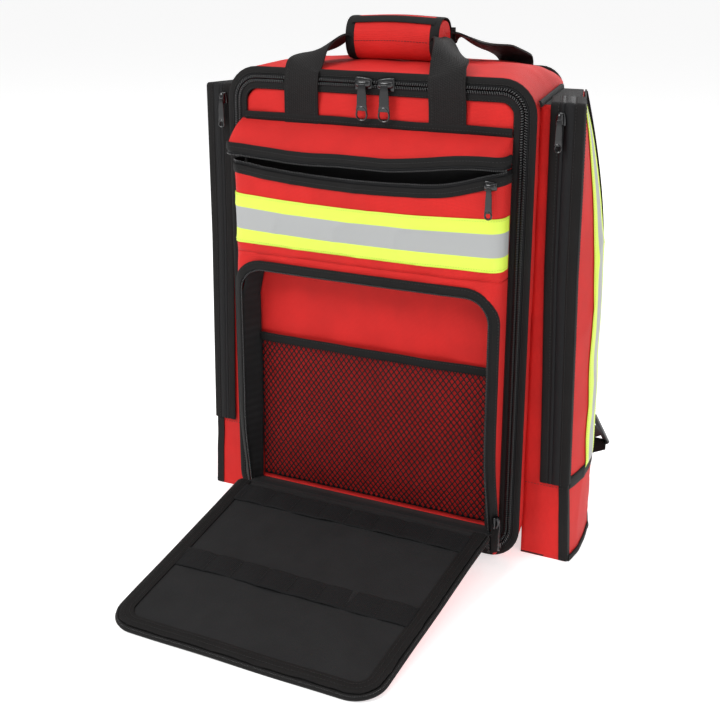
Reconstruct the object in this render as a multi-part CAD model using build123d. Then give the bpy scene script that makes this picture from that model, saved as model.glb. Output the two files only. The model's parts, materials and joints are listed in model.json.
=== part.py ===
"""Trauma backpack for a first responder, standing upright with its lower front pocket open.

The frame has +Z up, the front towards -Y, the wearer's back towards +Y, and its origin at the
centre of the main body's base. Every length is in millimetres.
"""

from build123d import *
import os
from math import asin, cos, degrees, radians, sin

# Main body
HEIGHT = 488.0           # floor to the top of the main body
FRONT_WIDTH = 332.0      # main body at its front edge
REAR_WIDTH = 268.0       # main body at the wearer's back, where it is narrower
DEPTH = 190.0            # main body, front to back
CORNER_R = 34.0          # rounded corners of the front outline
WALL = 3.0               # padded wall of the body, the cover and the side pockets
SKIN = 2.5               # unpadded wall of the front pockets
GAP = 0.5                # between pieces that move apart
INSET = 6.0              # from the outer face of the body to the loose boards inside it

# Main zip, in two halves that run round the cover
ZIP_HALF = 10.0          # width of each half, tape and teeth
ZIP_THICK = 2.0
ZIP_EDGE = 1.0           # from the body's edge to the outer half

# Front pockets on the cover
POCKET_BULGE = 27.0      # how far they stand out of the cover
POCKET_SPLIT = 300.0     # height where the upper pocket meets the lower one
UPPER_DROP = 55.0        # from the body's top to the upper pocket's top seam
HOOD_DROP = 33.0         # height of the slanted hood over the upper pocket's mouth
HOOD_LIP = 10.0          # how far the hood's shoulder stands behind the pocket's face
MOUTH_DROP = 40.0        # from that seam to the middle of the upper pocket's mouth
MOUTH_HEIGHT = 10.0
MOUTH_MARGIN = 10.0      # from the pocket's side to the end of its mouth
MOUTH_ZIP = 6.0          # width of each zip half beside the mouth
FRONT_TAPE_Z = 310.0     # lower edge of the reflective tape
TAPE_WIDTH = 52.0
TAPE_THICK = 1.2
TAPE_LIFT = 0.2          # seam under the reflective tape of a side door
HINGE_Z = 35.0           # height of the lid's hinge
RIM = 7.0                # rim round the lower pocket's opening
RIM_TOP = 15.0           # the same rim above the opening
OPENING_R = 26.0
MESH_TOP = 205.0
MESH_DEPTH = 8.0
MESH_SHEET = 1.5
MESH_MARGIN = 12.0       # from the lower pocket's side to the mesh pocket

# Lid of the lower pocket
LID_LENGTH = 251.0
LID_OVERHANG = 3.0       # how much wider than the pocket it is at the hinge
LID_TAPER = 18.0         # how much narrower it is at its free edge
LID_THICK = 5.0
LID_CORNER_R = 28.0
LID_GAP = 3.0            # between the closed lid and the rim
LID_ZIP = 8.0
LID_ZIP_THICK = 1.5
BAND_WIDTH = 28.0
BAND_THICK = 1.2
BAND_PLACES = (22.0, 141.0)   # from the hinge to the middle of each elastic band
BAND_MARGIN = 14.0            # from the lid's side to the end of each band

# Side pockets and their doors
SIDE_FRONT = 19.0        # how far they start behind the front face
SIDE_REAR = 33.0         # how far they end before the rear face
SIDE_DROP = 24.0         # from the body's top to the side pockets' top
SIDE_BULGE = 42.0        # width of the pocket's front face, outside the body
# How much further than that its front corner, middle and rear corner stand out at four heights.
SIDE_BASE = (8.0, 20.0, 9.0)
SIDE_DOOR_FOOT = (4.0, 20.0, 11.0)
SIDE_SHOULDER = (0.0, 18.0, 11.0)
SIDE_CROWN = (0.0, -8.0, -16.0)
DOOR_Z = 85.0            # height of the door's hinge
DOOR_THICK = 3.0
SHOULDER_Z = 300.0       # where the pocket starts to narrow towards its top
DOOR_FRAME = 10.0        # border of the pocket that the door closes on
SIDE_ZIP = 12.0
SIDE_ZIP_RUN = 48.0      # length of the side zip on the pocket's top

# Sliders and their pulls
MAIN_SLIDER = (18.0, 13.0)    # along its zip and across it
MAIN_PULL = (36.0, 13.0)      # length and width
MAIN_SLIDERS_X = (-9.0, 15.0)
SMALL_SLIDER = (12.0, 10.0)
SMALL_PULL = (31.0, 8.0)
SLIDER_THICK = 5.0
SLIDER_CLEAR = 0.4
PULL_THICK = 2.0
PULL_RIM = 2.0                # metal round the hole in a pull

# Carry handle
WEB_WIDTH = 38.0
WEB_THICK = 2.0
LOOP_X = 79.0            # from the middle to the centre of each leg
GRIP_LENGTH = 112.0
GRIP_R = 22.0
GRIP_Y = -39.0
GRIP_RISE = 29.0         # from the body's top to the grip's middle
GRIP_WEB = 20.0          # height of the webbing inside the grip
REAR_LOOP_DROP = 28.0    # how far the rear loop is sewn down the back
LOOP_CLEAR = 1.0         # between a loop and the edge that it passes
FRONT_BEND = (4.0, 8.0)  # where the front loop turns: behind the front face, above the top
REAR_BEND = (4.0, 4.0)   # where the rear loop turns: before the rear face, above the top

# Back panel and harness
PAD_THICK = 12.0
PAD_DROP = 76.0          # from the body's top to the back pads
PAD_BOTTOM = 128.0
PAD_WIDTH = 96.0
PAD_R = 24.0             # rounded corners of the back and lumbar pads
PAD_SPACE = 26.0         # channel between the two back pads
LUMBAR_THICK = 14.0
LUMBAR_WIDTH = 200.0
LUMBAR_LOW = 32.0
LUMBAR_HIGH = 116.0
STRAP_WIDTH = 62.0
STRAP_THICK = 12.0
STRAP_DROP = 30.0        # from the body's top to the straps' upper end
STRAP_TOP_X = 62.0
STRAP_CURVE = ((72.0, 350.0), (88.0, 250.0), (122.0, 165.0), (166.0, 86.0))
STRAP_STAND = 39.0       # how far the strap's middle stands behind the rear face
STRAP_END_STAND = 20.0
STRAP_TIP = 8.0          # from the end of the strap's centre line to its square tip
LOCK_GAP = 1.0
LOCK_WIDTH = 34.0
LOCK_LENGTH = 36.0
LOCK_THICK = 6.0
LOWER_WEB = 25.0         # width of the adjusting webbing
ANCHOR_LOW = 14.0        # where the adjusting webbing is sewn to the back
ANCHOR_HIGH = 36.0
ANCHOR_CLEAR = 4.0       # between that place and the lumbar pad
STERNUM_Z = 300.0
STERNUM_WEB = 25.0
RUNNER_WIDTH = 26.0
RUNNER_HEIGHT = 34.0
RUNNER_THICK = 3.0
HIP_Z = 74.0
HIP_WEB = 38.0
WING_WIDTH = 58.0
WING_INNER = 76.0
WING_OUTER = 120.0
WING_THICK = 28.0

# Side-release buckles
BUCKLE_THICK = 13.0
BUCKLE_BORDER = 5.0      # beside the webbing
SOCKET_LENGTH = 30.0
PLUG_LENGTH = 24.0
BUCKLE_WALL = 2.0
PRONG_CLEAR = 0.7
PRONG_THICK = 4.0
PRONG_WIDTH = 7.0
WEB_CLEAR = 0.7

# Boards and dividers inside
BOARD_THICK = 2.0
BOARD_MARGIN = 12.0      # from the body's top and base to the stiffening sheet
SHELF_FRONT = 12.0       # from the front face to the shelves' front edge
FOAM_THICK = 6.0
DIVIDER_THICK = 6.0
ORGANISER_DEPTH = 7.0    # flat pocket on the inside of the cover
ORGANISER_MARGIN = 8.0
ORGANISER_TOP = 230.0

FRONT = -DEPTH / 2
REAR = DEPTH / 2
FLANGE = ZIP_EDGE + ZIP_HALF             # body fabric that shows round the cover
COVER_INSET = FLANGE + GAP
ZIP_FACE = FRONT - ZIP_THICK
POCKET_FACE = FRONT - POCKET_BULGE
POCKET_WIDTH = FRONT_WIDTH - 2 * (COVER_INSET + ZIP_HALF)
HALF_POCKET = POCKET_WIDTH / 2
UPPER_TOP = HEIGHT - UPPER_DROP
MOUTH_Z = UPPER_TOP - MOUTH_DROP
SIDE_TOP = HEIGHT - SIDE_DROP
GRIP_Z = HEIGHT + GRIP_RISE
PAD_TOP = HEIGHT - PAD_DROP
STRAP_TOP_Z = HEIGHT - STRAP_DROP
STRAP_LINE = ((STRAP_TOP_X, STRAP_TOP_Z), *STRAP_CURVE)
LID_WIDTH = POCKET_WIDTH + LID_OVERHANG
LID_TIP_WIDTH = LID_WIDTH - LID_TAPER
SIDE_Y0 = FRONT + SIDE_FRONT
SIDE_Y1 = REAR - SIDE_REAR
SIDE_MID_Y = (SIDE_Y0 + SIDE_Y1) / 2
LID_AXIS_Y = POCKET_FACE - LID_GAP - LID_THICK
LID_DROP = degrees(asin(HINGE_Z / LID_LENGTH))
LID_OPEN = 90 + LID_DROP
BUCKLE_WEB_Y = -BUCKLE_THICK / 2 + BUCKLE_WALL + WEB_CLEAR   # the webbing's near face in a buckle


def half_width(y):
    """Half the main body's width at a depth y."""
    return FRONT_WIDTH / 2 + (REAR_WIDTH - FRONT_WIDTH) / 2 * (y - FRONT) / DEPTH


def block(x0, x1, y0, y1, z0, z1):
    """A box between two corners."""
    place = Pos((x0 + x1) / 2, (y0 + y1) / 2, (z0 + z1) / 2)
    return place * Box(x1 - x0, y1 - y0, z1 - z0)


def slab_xz(sketch, y0, y1):
    """A sketch drawn in X and Z, extruded from y0 to y1."""
    return extrude(Plane.XZ.offset(-y1) * sketch, y1 - y0)


def slab_xy(sketch, z0, z1):
    """A sketch drawn in X and Y, extruded from z0 to z1."""
    return extrude(Plane.XY.offset(z0) * sketch, z1 - z0)


def slab_yz(sketch, x0, x1):
    """A sketch drawn in Y and Z, extruded from x0 to x1."""
    return extrude(Plane.YZ.offset(x0) * sketch, x1 - x0)


def shape(*points):
    """A flat polygon through the points given."""
    return make_face(Polyline(*points, close=True))


def both_sides(solid):
    """The solid and its mirror image across the middle plane."""
    return solid, mirror(solid, Plane.YZ)


def front_outline(inset):
    """The body's rounded front outline, set in all round."""
    outline = RectangleRounded(FRONT_WIDTH - 2 * inset, HEIGHT - 2 * inset, CORNER_R - inset)
    return Pos(0, HEIGHT / 2) * outline


def ring(outer_inset, inner_inset, y0, y1):
    """A frame that follows the front outline."""
    return slab_xz(front_outline(outer_inset) - front_outline(inner_inset), y0, y1)


def body_block(inset, y0, y1):
    """The tapering body, set in at the sides, top and bottom, from y0 to y1."""
    plan = shape(
        (-half_width(y0) + inset, y0),
        (half_width(y0) - inset, y0),
        (half_width(y1) - inset, y1),
        (-half_width(y1) + inset, y1),
    )
    return slab_xy(plan, 0, HEIGHT) & slab_xz(front_outline(inset), y0, y1)


def make_main_body():
    """The red shell, open at the front inside a flange that carries the zip."""
    shell = body_block(0, FRONT, REAR) - body_block(WALL, FRONT + WALL, REAR - WALL)
    return shell - slab_xz(front_outline(FLANGE), FRONT - 1, FRONT + WALL + 1)


def make_inside():
    """Boards, foam and the two padded shelves inside the main body."""
    foam_y = REAR - WALL - FOAM_THICK
    sheet_y = foam_y - BOARD_THICK
    shelf_y0 = FRONT + SHELF_FRONT
    shelf_y1 = sheet_y - GAP
    back_width = 2 * (half_width(REAR) - INSET)
    board = RectangleRounded(back_width, HEIGHT - 2 * BOARD_MARGIN, CORNER_R - INSET)
    board = Pos(0, HEIGHT / 2) * board
    plan = shape(
        (-half_width(shelf_y0) + INSET, shelf_y0),
        (half_width(shelf_y0) - INSET, shelf_y0),
        (half_width(shelf_y1) - INSET, shelf_y1),
        (-half_width(shelf_y1) + INSET, shelf_y1),
    )
    lower, upper = HEIGHT / 3, 2 * HEIGHT / 3
    half_base = min(half_width(REAR) - INSET, FRONT_WIDTH / 2 - CORNER_R)
    base = block(-half_base, half_base, shelf_y0, shelf_y1, WALL, WALL + BOARD_THICK)
    return {
        "back_foam": slab_xz(board, foam_y, REAR - WALL),
        "frame_sheet": slab_xz(board, sheet_y, foam_y),
        "base_board": base,
        "shelf_divider_lower": slab_xy(plan, lower, lower + DIVIDER_THICK),
        "shelf_divider_upper": slab_xy(plan, upper, upper + DIVIDER_THICK),
    }


def make_organiser():
    """The flat pocket on the inside of the cover, open at its top."""
    half = FRONT_WIDTH / 2 - COVER_INSET - ORGANISER_MARGIN
    y0, y1 = FRONT + WALL, FRONT + WALL + ORGANISER_DEPTH
    low = COVER_INSET + ORGANISER_MARGIN
    pouch = block(-half, half, y0, y1, low, ORGANISER_TOP)
    return pouch - block(
        -half + MESH_SHEET, half - MESH_SHEET, y0 - 1, y1 - MESH_SHEET, low + MESH_SHEET, ORGANISER_TOP + 1
    )


def make_main_zip():
    """The two zip halves; the hinge along the bottom has no teeth."""
    hinge_half = FRONT_WIDTH / 2 - CORNER_R
    hinge = block(-hinge_half, hinge_half, ZIP_FACE - 1, FRONT + 1, -1, COVER_INSET + ZIP_HALF + 1)
    return {
        "main_zip_body_tape": ring(ZIP_EDGE, FLANGE, ZIP_FACE, FRONT) - hinge,
        "main_zip_cover_tape": ring(COVER_INSET, COVER_INSET + ZIP_HALF, ZIP_FACE, FRONT) - hinge,
    }


def make_upper_pocket():
    """The hooded upper pocket, open at its back against the cover, with a long mouth."""
    def profile(inset):
        return shape(
            (FRONT + inset, POCKET_SPLIT + inset),
            (POCKET_FACE + inset, POCKET_SPLIT + inset),
            (POCKET_FACE + inset, UPPER_TOP - HOOD_DROP),
            (POCKET_FACE + HOOD_LIP + inset, UPPER_TOP - HOOD_LIP - inset),
            (FRONT + inset, UPPER_TOP - inset),
        )

    outer = slab_yz(profile(0), -HALF_POCKET, HALF_POCKET)
    inner = slab_yz(profile(SKIN), -HALF_POCKET + SKIN, HALF_POCKET - SKIN)
    back = block(
        -HALF_POCKET + SKIN,
        HALF_POCKET - SKIN,
        FRONT - 1,
        FRONT + SKIN + 1,
        POCKET_SPLIT + SKIN,
        UPPER_TOP - HOOD_DROP,
    )
    mouth_half = HALF_POCKET - MOUTH_MARGIN
    mouth = block(
        -mouth_half,
        mouth_half,
        POCKET_FACE - 1,
        POCKET_FACE + SKIN + 1,
        MOUTH_Z - MOUTH_HEIGHT / 2,
        MOUTH_Z + MOUTH_HEIGHT / 2,
    )
    zip_frame = block(
        -mouth_half - MOUTH_ZIP,
        mouth_half + MOUTH_ZIP,
        POCKET_FACE - ZIP_THICK,
        POCKET_FACE,
        MOUTH_Z - MOUTH_HEIGHT / 2 - MOUTH_ZIP,
        MOUTH_Z + MOUTH_HEIGHT / 2 + MOUTH_ZIP,
    )
    through = block(
        -mouth_half,
        mouth_half,
        POCKET_FACE - ZIP_THICK - 1,
        POCKET_FACE + 1,
        MOUTH_Z - MOUTH_HEIGHT / 2,
        MOUTH_Z + MOUTH_HEIGHT / 2,
    )
    pocket = (outer - inner - back - mouth) & block(
        -FRONT_WIDTH, FRONT_WIDTH, POCKET_FACE - 1, FRONT, 0, HEIGHT
    )
    tape = block(
        -HALF_POCKET,
        HALF_POCKET,
        POCKET_FACE - TAPE_THICK,
        POCKET_FACE,
        FRONT_TAPE_Z,
        FRONT_TAPE_Z + TAPE_WIDTH,
    )
    return {"upper_pocket": pocket, "upper_zip": zip_frame - through, "front_reflective_tape": tape}


def make_lower_pocket():
    """The frame of the lower pocket and the mesh pocket on its back wall."""
    top = POCKET_SPLIT - GAP
    outer = block(-HALF_POCKET, HALF_POCKET, POCKET_FACE, FRONT, HINGE_Z, top)
    room = block(
        -HALF_POCKET + SKIN,
        HALF_POCKET - SKIN,
        POCKET_FACE + SKIN,
        FRONT + 1,
        HINGE_Z + SKIN,
        top - SKIN,
    )
    low = HINGE_Z + SKIN
    high = top - RIM_TOP
    arch = RectangleRounded(POCKET_WIDTH - 2 * RIM, high - low + 2 * OPENING_R, OPENING_R)
    arch = Pos(0, high - (high - low + 2 * OPENING_R) / 2) * arch
    opening = slab_xz(arch, POCKET_FACE - 1, POCKET_FACE + SKIN + 1)
    opening &= block(-FRONT_WIDTH, FRONT_WIDTH, POCKET_FACE - 2, FRONT, low, HEIGHT)

    half = HALF_POCKET - MESH_MARGIN
    pouch = block(-half, half, FRONT - MESH_DEPTH, FRONT, low + GAP, MESH_TOP)
    pouch -= block(
        -half + MESH_SHEET,
        half - MESH_SHEET,
        FRONT - MESH_DEPTH + MESH_SHEET,
        FRONT + 1,
        low + GAP + MESH_SHEET,
        MESH_TOP + 1,
    )
    return {"lower_pocket": outer - room - opening, "mesh_pocket": pouch}


def lid_outline(inset, low):
    """The closed lid seen from the front: it tapers and has two round upper corners."""
    half = LID_WIDTH / 2 - inset
    tip = LID_TIP_WIDTH / 2 - inset
    top = HINGE_Z + LID_LENGTH - inset
    face = shape((-half, low), (half, low), (tip, top), (-tip, top))
    corners = [v for v in face.vertices() if v.Z > top - 1 or v.Y > top - 1]
    return fillet(corners, LID_CORNER_R - inset)


def opened(solid):
    """Turns a piece of the closed lid down to where the open lid rests on the floor."""
    axis = Axis((0, LID_AXIS_Y, HINGE_Z), (1, 0, 0))
    return solid.rotate(axis, LID_OPEN)


def make_lid():
    """The padded lid, its zip half and its elastic bands, open in front of the pocket."""
    inner_face = LID_AXIS_Y + LID_THICK
    lid = slab_xz(lid_outline(0, HINGE_Z), LID_AXIS_Y, inner_face)
    teeth = lid_outline(0, HINGE_Z + SKIN) - lid_outline(LID_ZIP, HINGE_Z)
    teeth = slab_xz(teeth, inner_face, inner_face + LID_ZIP_THICK)
    bands = []
    for place in BAND_PLACES:
        share = place / LID_LENGTH
        half = (LID_WIDTH + (LID_TIP_WIDTH - LID_WIDTH) * share) / 2 - BAND_MARGIN
        low = HINGE_Z + place - BAND_WIDTH / 2
        bands.append(block(-half, half, inner_face, inner_face + BAND_THICK, low, low + BAND_WIDTH))
    return {
        "pocket_lid": opened(lid),
        "lid_zip": opened(teeth),
        "lid_elastic_bands": Compound([opened(band) for band in bands]),
    }


def side_section(z, inset, shrink):
    """A side pocket's outline at height z: inset from its outer face, shrunk front and back."""
    levels = ((0.0, SIDE_BASE), (DOOR_Z, SIDE_DOOR_FOOT), (SHOULDER_Z, SIDE_SHOULDER), (SIDE_TOP, SIDE_CROWN))
    above = next((i for i, level in enumerate(levels) if level[0] >= z and i), len(levels) - 1)
    (low_z, low), (high_z, high) = levels[above - 1], levels[above]
    share = (z - low_z) / (high_z - low_z)
    front, middle, rear = (SIDE_BULGE + a + (b - a) * share for a, b in zip(low, high))
    y0 = SIDE_Y0 + shrink
    y1 = SIDE_Y1 - shrink
    points = (
        (half_width(y0), y0),
        (half_width(y0) + front - inset, y0),
        (half_width(SIDE_MID_Y) + middle - inset, SIDE_MID_Y),
        (half_width(y1) + rear - inset, y1),
        (half_width(y1), y1),
    )
    return Plane.XY.offset(z) * shape(*points)


def side_solid(z0, z1, inset, shrink):
    """A side pocket's outer form between two heights."""
    heights = [z0] + [z for z in (DOOR_Z, SHOULDER_Z) if z0 < z < z1] + [z1]
    return loft([side_section(z, inset, shrink) for z in heights], ruled=True)


def make_side():
    """The side pocket, its door, its reflective tape and its zip, on the +X side."""
    door_low = DOOR_Z + GAP
    behind = DOOR_THICK + GAP
    lower = side_solid(0, DOOR_Z, 0, 0)
    upper = side_solid(DOOR_Z, SIDE_TOP, behind, 0)
    room = side_solid(WALL, SIDE_TOP - WALL, behind + WALL, WALL)
    doorway = block(
        half_width(SIDE_Y1) + WALL,
        FRONT_WIDTH,
        SIDE_Y0 + DOOR_FRAME,
        SIDE_Y1 - DOOR_FRAME,
        DOOR_Z,
        SIDE_TOP - DOOR_FRAME,
    )
    pocket = lower + upper - room - doorway
    door = side_solid(door_low, SIDE_TOP, 0, 0) - side_solid(door_low - 1, SIDE_TOP + 1, DOOR_THICK, -1)
    tape_y0 = SIDE_MID_Y - TAPE_WIDTH / 2
    tape = side_solid(door_low, SIDE_TOP, -TAPE_LIFT - TAPE_THICK, 0)
    tape -= side_solid(door_low - 1, SIDE_TOP + 1, -TAPE_LIFT, -1)
    tape &= block(0, FRONT_WIDTH, tape_y0, tape_y0 + TAPE_WIDTH, 0, HEIGHT)
    middle = half_width(SIDE_Y0) + SIDE_BULGE / 2
    x0, x1 = middle - SIDE_ZIP / 2, middle + SIDE_ZIP / 2
    y0, top = SIDE_Y0 - ZIP_THICK, SIDE_TOP + ZIP_THICK
    zip_tape = block(x0, x1, y0, SIDE_Y0, DOOR_Z, top)
    zip_tape += block(x0, x1, y0, SIDE_Y0 + SIDE_ZIP_RUN, SIDE_TOP, top)
    return {"side_pocket": pocket, "side_door": door, "side_reflective_tape": tape, "side_zip": zip_tape}


def make_slider(x, face_y, z, size_x, size_z):
    """A zip slider in front of a zip whose face is at face_y."""
    y1 = face_y - SLIDER_CLEAR
    return block(x - size_x / 2, x + size_x / 2, y1 - SLIDER_THICK, y1, z - size_z / 2, z + size_z / 2)


def make_pull(x, face_y, z, size):
    """The pull that hangs in front of a slider, with a hole at its lower end."""
    length, width = size
    y1 = face_y - 2 * SLIDER_CLEAR - SLIDER_THICK
    low = z - length
    pull = block(x - width / 2, x + width / 2, y1 - PULL_THICK, y1, low, z)
    hole = Pos(x, low + width / 2) * Circle(width / 2 - PULL_RIM)
    return pull - slab_xz(hole, y1 - PULL_THICK - 1, y1 + 1)


def band_profile(points, thick):
    """A strip of webbing seen from its edge, drawn in Y and Z along straight runs."""
    line = Polyline(*points)
    return make_face(offset(line, thick / 2, kind=Kind.INTERSECTION, side=Side.BOTH).edges())


def make_front_loop():
    """The webbing loop sewn to the cover, which carries the padded grip."""
    y = ZIP_FACE - GAP - WEB_THICK / 2
    profile = band_profile(
        (
            (y, UPPER_TOP + LOOP_CLEAR),
            (y, HEIGHT + LOOP_CLEAR),
            (FRONT + FRONT_BEND[0], HEIGHT + FRONT_BEND[1]),
            (GRIP_Y, GRIP_Z),
        ),
        WEB_THICK,
    )
    half = WEB_WIDTH / 2
    legs = [slab_yz(profile, side * LOOP_X - half, side * LOOP_X + half) for side in (-1, 1)]
    bar = block(
        -LOOP_X - half,
        LOOP_X + half,
        GRIP_Y - WEB_THICK,
        GRIP_Y + WEB_THICK,
        GRIP_Z - GRIP_WEB / 2,
        GRIP_Z + GRIP_WEB / 2,
    )
    grip = Pos(0, GRIP_Y, GRIP_Z) * Rot(0, 90, 0) * Cylinder(GRIP_R, GRIP_LENGTH)
    return {"front_carry_loop": legs[0] + legs[1] + bar, "carry_grip": grip - bar}


def make_rear_loop():
    """The webbing loop sewn to the back of the body, which ends just behind the grip."""
    y = REAR + WEB_THICK / 2
    end_y = GRIP_Y + GRIP_R + 2 * WEB_THICK + GAP
    profile = band_profile(
        (
            (y, HEIGHT - REAR_LOOP_DROP),
            (y, HEIGHT + LOOP_CLEAR),
            (REAR - REAR_BEND[0], HEIGHT + REAR_BEND[1]),
            (end_y, GRIP_Z),
        ),
        WEB_THICK,
    )
    half = WEB_WIDTH / 2
    legs = [slab_yz(profile, side * LOOP_X - half, side * LOOP_X + half) for side in (-1, 1)]
    bar = block(
        -LOOP_X - half,
        LOOP_X + half,
        end_y - WEB_THICK,
        end_y + WEB_THICK,
        GRIP_Z - GRIP_WEB / 2,
        GRIP_Z + GRIP_WEB / 2,
    )
    return legs[0] + legs[1] + bar


def strap_tip_angle():
    """How far the strap's last run leans outwards from the vertical."""
    (x0, z0), (x1, z1) = STRAP_LINE[-2:]
    return degrees(asin((x1 - x0) / ((x1 - x0) ** 2 + (z1 - z0) ** 2) ** 0.5))


def past_strap(along, across=0.0):
    """A point beyond the end of the strap's centre line, in its last run's direction."""
    lean = radians(strap_tip_angle())
    x, z = STRAP_LINE[-1]
    return x + along * sin(lean) + across * cos(lean), z - along * cos(lean) + across * sin(lean)


def strap_outline():
    """A shoulder strap seen from behind, about its centre line from the top to its tip."""
    left = [(x - STRAP_WIDTH / 2, z) for x, z in STRAP_LINE]
    right = [(x + STRAP_WIDTH / 2, z) for x, z in STRAP_LINE]
    tip = [past_strap(STRAP_TIP, side * LOCK_WIDTH / 2) for side in (-1, 1)]
    return shape(*left, *tip, *reversed(right))


def strap_band():
    """A shoulder strap seen from the side: an arc that stands off the wearer's back."""
    low = past_strap(STRAP_TIP, -LOCK_WIDTH / 2)[1] - STRAP_TIP
    middle = (STRAP_TOP_Z + low) / 2
    half = STRAP_THICK / 2
    top = REAR + STRAP_END_STAND
    crown = REAR + STRAP_STAND
    outer = ThreePointArc((top + half, STRAP_TOP_Z), (crown + half, middle), (top + half, low))
    inner = ThreePointArc((top - half, low), (crown - half, middle), (top - half, STRAP_TOP_Z))
    return make_face([outer, Line(outer @ 1, inner @ 0), inner, Line(inner @ 1, outer @ 0)])


def make_strap():
    """One padded shoulder strap with the root that sews it to the back, on the +X side."""
    x0 = STRAP_LINE[0][0] - STRAP_WIDTH / 2
    strap = slab_yz(strap_band(), 0, FRONT_WIDTH) & slab_xz(strap_outline(), REAR, REAR + 2 * STRAP_STAND)
    root = block(
        x0, x0 + STRAP_WIDTH, REAR, REAR + STRAP_END_STAND, STRAP_TOP_Z - 2 * STRAP_THICK, STRAP_TOP_Z
    )
    return strap + root


def make_lock():
    """The ladder-lock at the strap's tip: a plate with two slots, on the +X side."""
    x, z = past_strap(STRAP_TIP + LOCK_GAP + LOCK_LENGTH / 2)
    plate = Box(LOCK_WIDTH, LOCK_THICK, LOCK_LENGTH)
    for place in (-LOCK_LENGTH / 4, LOCK_LENGTH / 4):
        plate -= Pos(0, 0, place) * Box(LOWER_WEB + 1, 2 * LOCK_THICK, LOCK_LENGTH / 6)
    return Pos(x, REAR + STRAP_END_STAND, z) * Rot(0, -strap_tip_angle(), 0) * plate


def make_lower_webbing():
    """The adjusting webbing from the ladder-lock in to its anchor at the base, on the +X side."""
    end_x, end_z = past_strap(STRAP_TIP + LOCK_LENGTH)
    y1 = REAR + STRAP_END_STAND - LOCK_THICK / 2
    half = LOWER_WEB / 2
    anchor_x = LUMBAR_WIDTH / 2 + half + ANCHOR_CLEAR
    web = shape(
        (anchor_x - half, ANCHOR_LOW),
        (anchor_x + half, ANCHOR_LOW),
        (end_x + half, end_z),
        (end_x + half, end_z + half),
        (end_x - half, end_z + half),
        (anchor_x - half, ANCHOR_HIGH),
    )
    strip = slab_xz(web, y1 - WEB_THICK, y1)
    anchor = block(anchor_x - half, anchor_x + half, REAR, y1 - WEB_THICK, ANCHOR_LOW, ANCHOR_HIGH)
    return strip + anchor


def make_socket(web):
    """A side-release buckle's socket, open at +X, about the buckle's own middle."""
    half = web / 2 + BUCKLE_BORDER
    cavity_y1 = BUCKLE_THICK / 2 - BUCKLE_WALL
    solid = block(-SOCKET_LENGTH, 0, -BUCKLE_THICK / 2, BUCKLE_THICK / 2, -half, half)
    return solid - block(
        -SOCKET_LENGTH + 2 * BUCKLE_WALL,
        1,
        cavity_y1 - PRONG_THICK - 2 * PRONG_CLEAR,
        cavity_y1,
        -half + BUCKLE_WALL,
        half - BUCKLE_WALL,
    )


def make_plug(web):
    """The buckle's plug: two side prongs, and a bar block that its webbing runs through."""
    half = web / 2 + BUCKLE_BORDER
    prong_y1 = BUCKLE_THICK / 2 - BUCKLE_WALL - PRONG_CLEAR
    body = block(GAP, GAP + PLUG_LENGTH, -BUCKLE_THICK / 2, BUCKLE_THICK / 2, -half, half)
    body -= block(
        0,
        2 * PLUG_LENGTH,
        BUCKLE_WEB_Y - WEB_CLEAR,
        BUCKLE_WEB_Y + WEB_THICK + WEB_CLEAR,
        -web / 2 - WEB_CLEAR,
        web / 2 + WEB_CLEAR,
    )
    prong_tip = -SOCKET_LENGTH + 2 * BUCKLE_WALL + PRONG_CLEAR
    for z0 in (-half + BUCKLE_WALL + PRONG_CLEAR, half - BUCKLE_WALL - PRONG_CLEAR - PRONG_WIDTH):
        body += block(prong_tip, GAP + 1, prong_y1 - PRONG_THICK, prong_y1, z0, z0 + PRONG_WIDTH)
    return body


def buckle_webbing(web, reach_left, reach_right):
    """The two flat straps of a buckle, about its middle: one meets the socket, one the plug."""
    y0, y1 = BUCKLE_WEB_Y, BUCKLE_WEB_Y + WEB_THICK
    left = block(-reach_left, -SOCKET_LENGTH, y0, y1, -web / 2, web / 2)
    right = block(BUCKLE_WALL + GAP, reach_right, y0, y1, -web / 2, web / 2)
    return left, right


def make_sternum():
    """The sternum strap that joins the shoulder straps, with its runners and buckle."""
    crown = REAR + STRAP_STAND + STRAP_THICK / 2 + GAP
    strap_x = STRAP_LINE[1][0]
    place = Pos(0, crown + RUNNER_THICK - BUCKLE_WEB_Y, STERNUM_Z)
    straps = [place * s for s in buckle_webbing(STERNUM_WEB, strap_x, strap_x)]
    runners = []
    for x in (-strap_x, strap_x):
        runners.append(
            block(
                x - RUNNER_WIDTH / 2,
                x + RUNNER_WIDTH / 2,
                crown,
                crown + RUNNER_THICK,
                STERNUM_Z - RUNNER_HEIGHT / 2,
                STERNUM_Z + RUNNER_HEIGHT / 2,
            )
        )
    return {
        "sternum_webbing": Compound(straps),
        "sternum_runners": Compound(runners),
        "sternum_socket": place * make_socket(STERNUM_WEB),
        "sternum_plug": place * make_plug(STERNUM_WEB),
    }


def make_hip_belt():
    """The waist belt, folded behind the lumbar pad and buckled at the middle."""
    wing_y = REAR + LUMBAR_THICK
    place = Pos(0, wing_y + WING_THICK - BUCKLE_THICK / 2, HIP_Z)
    straps = [place * s for s in buckle_webbing(HIP_WEB, WING_INNER, WING_INNER)]
    half = WING_WIDTH / 2
    wing = block(WING_INNER, WING_OUTER, wing_y, wing_y + WING_THICK, HIP_Z - half, HIP_Z + half)
    right, left = both_sides(wing)
    return {
        "hip_webbing": Compound(straps),
        "hip_wing_left": left,
        "hip_wing_right": right,
        "hip_socket": place * make_socket(HIP_WEB),
        "hip_plug": place * make_plug(HIP_WEB),
    }


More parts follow.
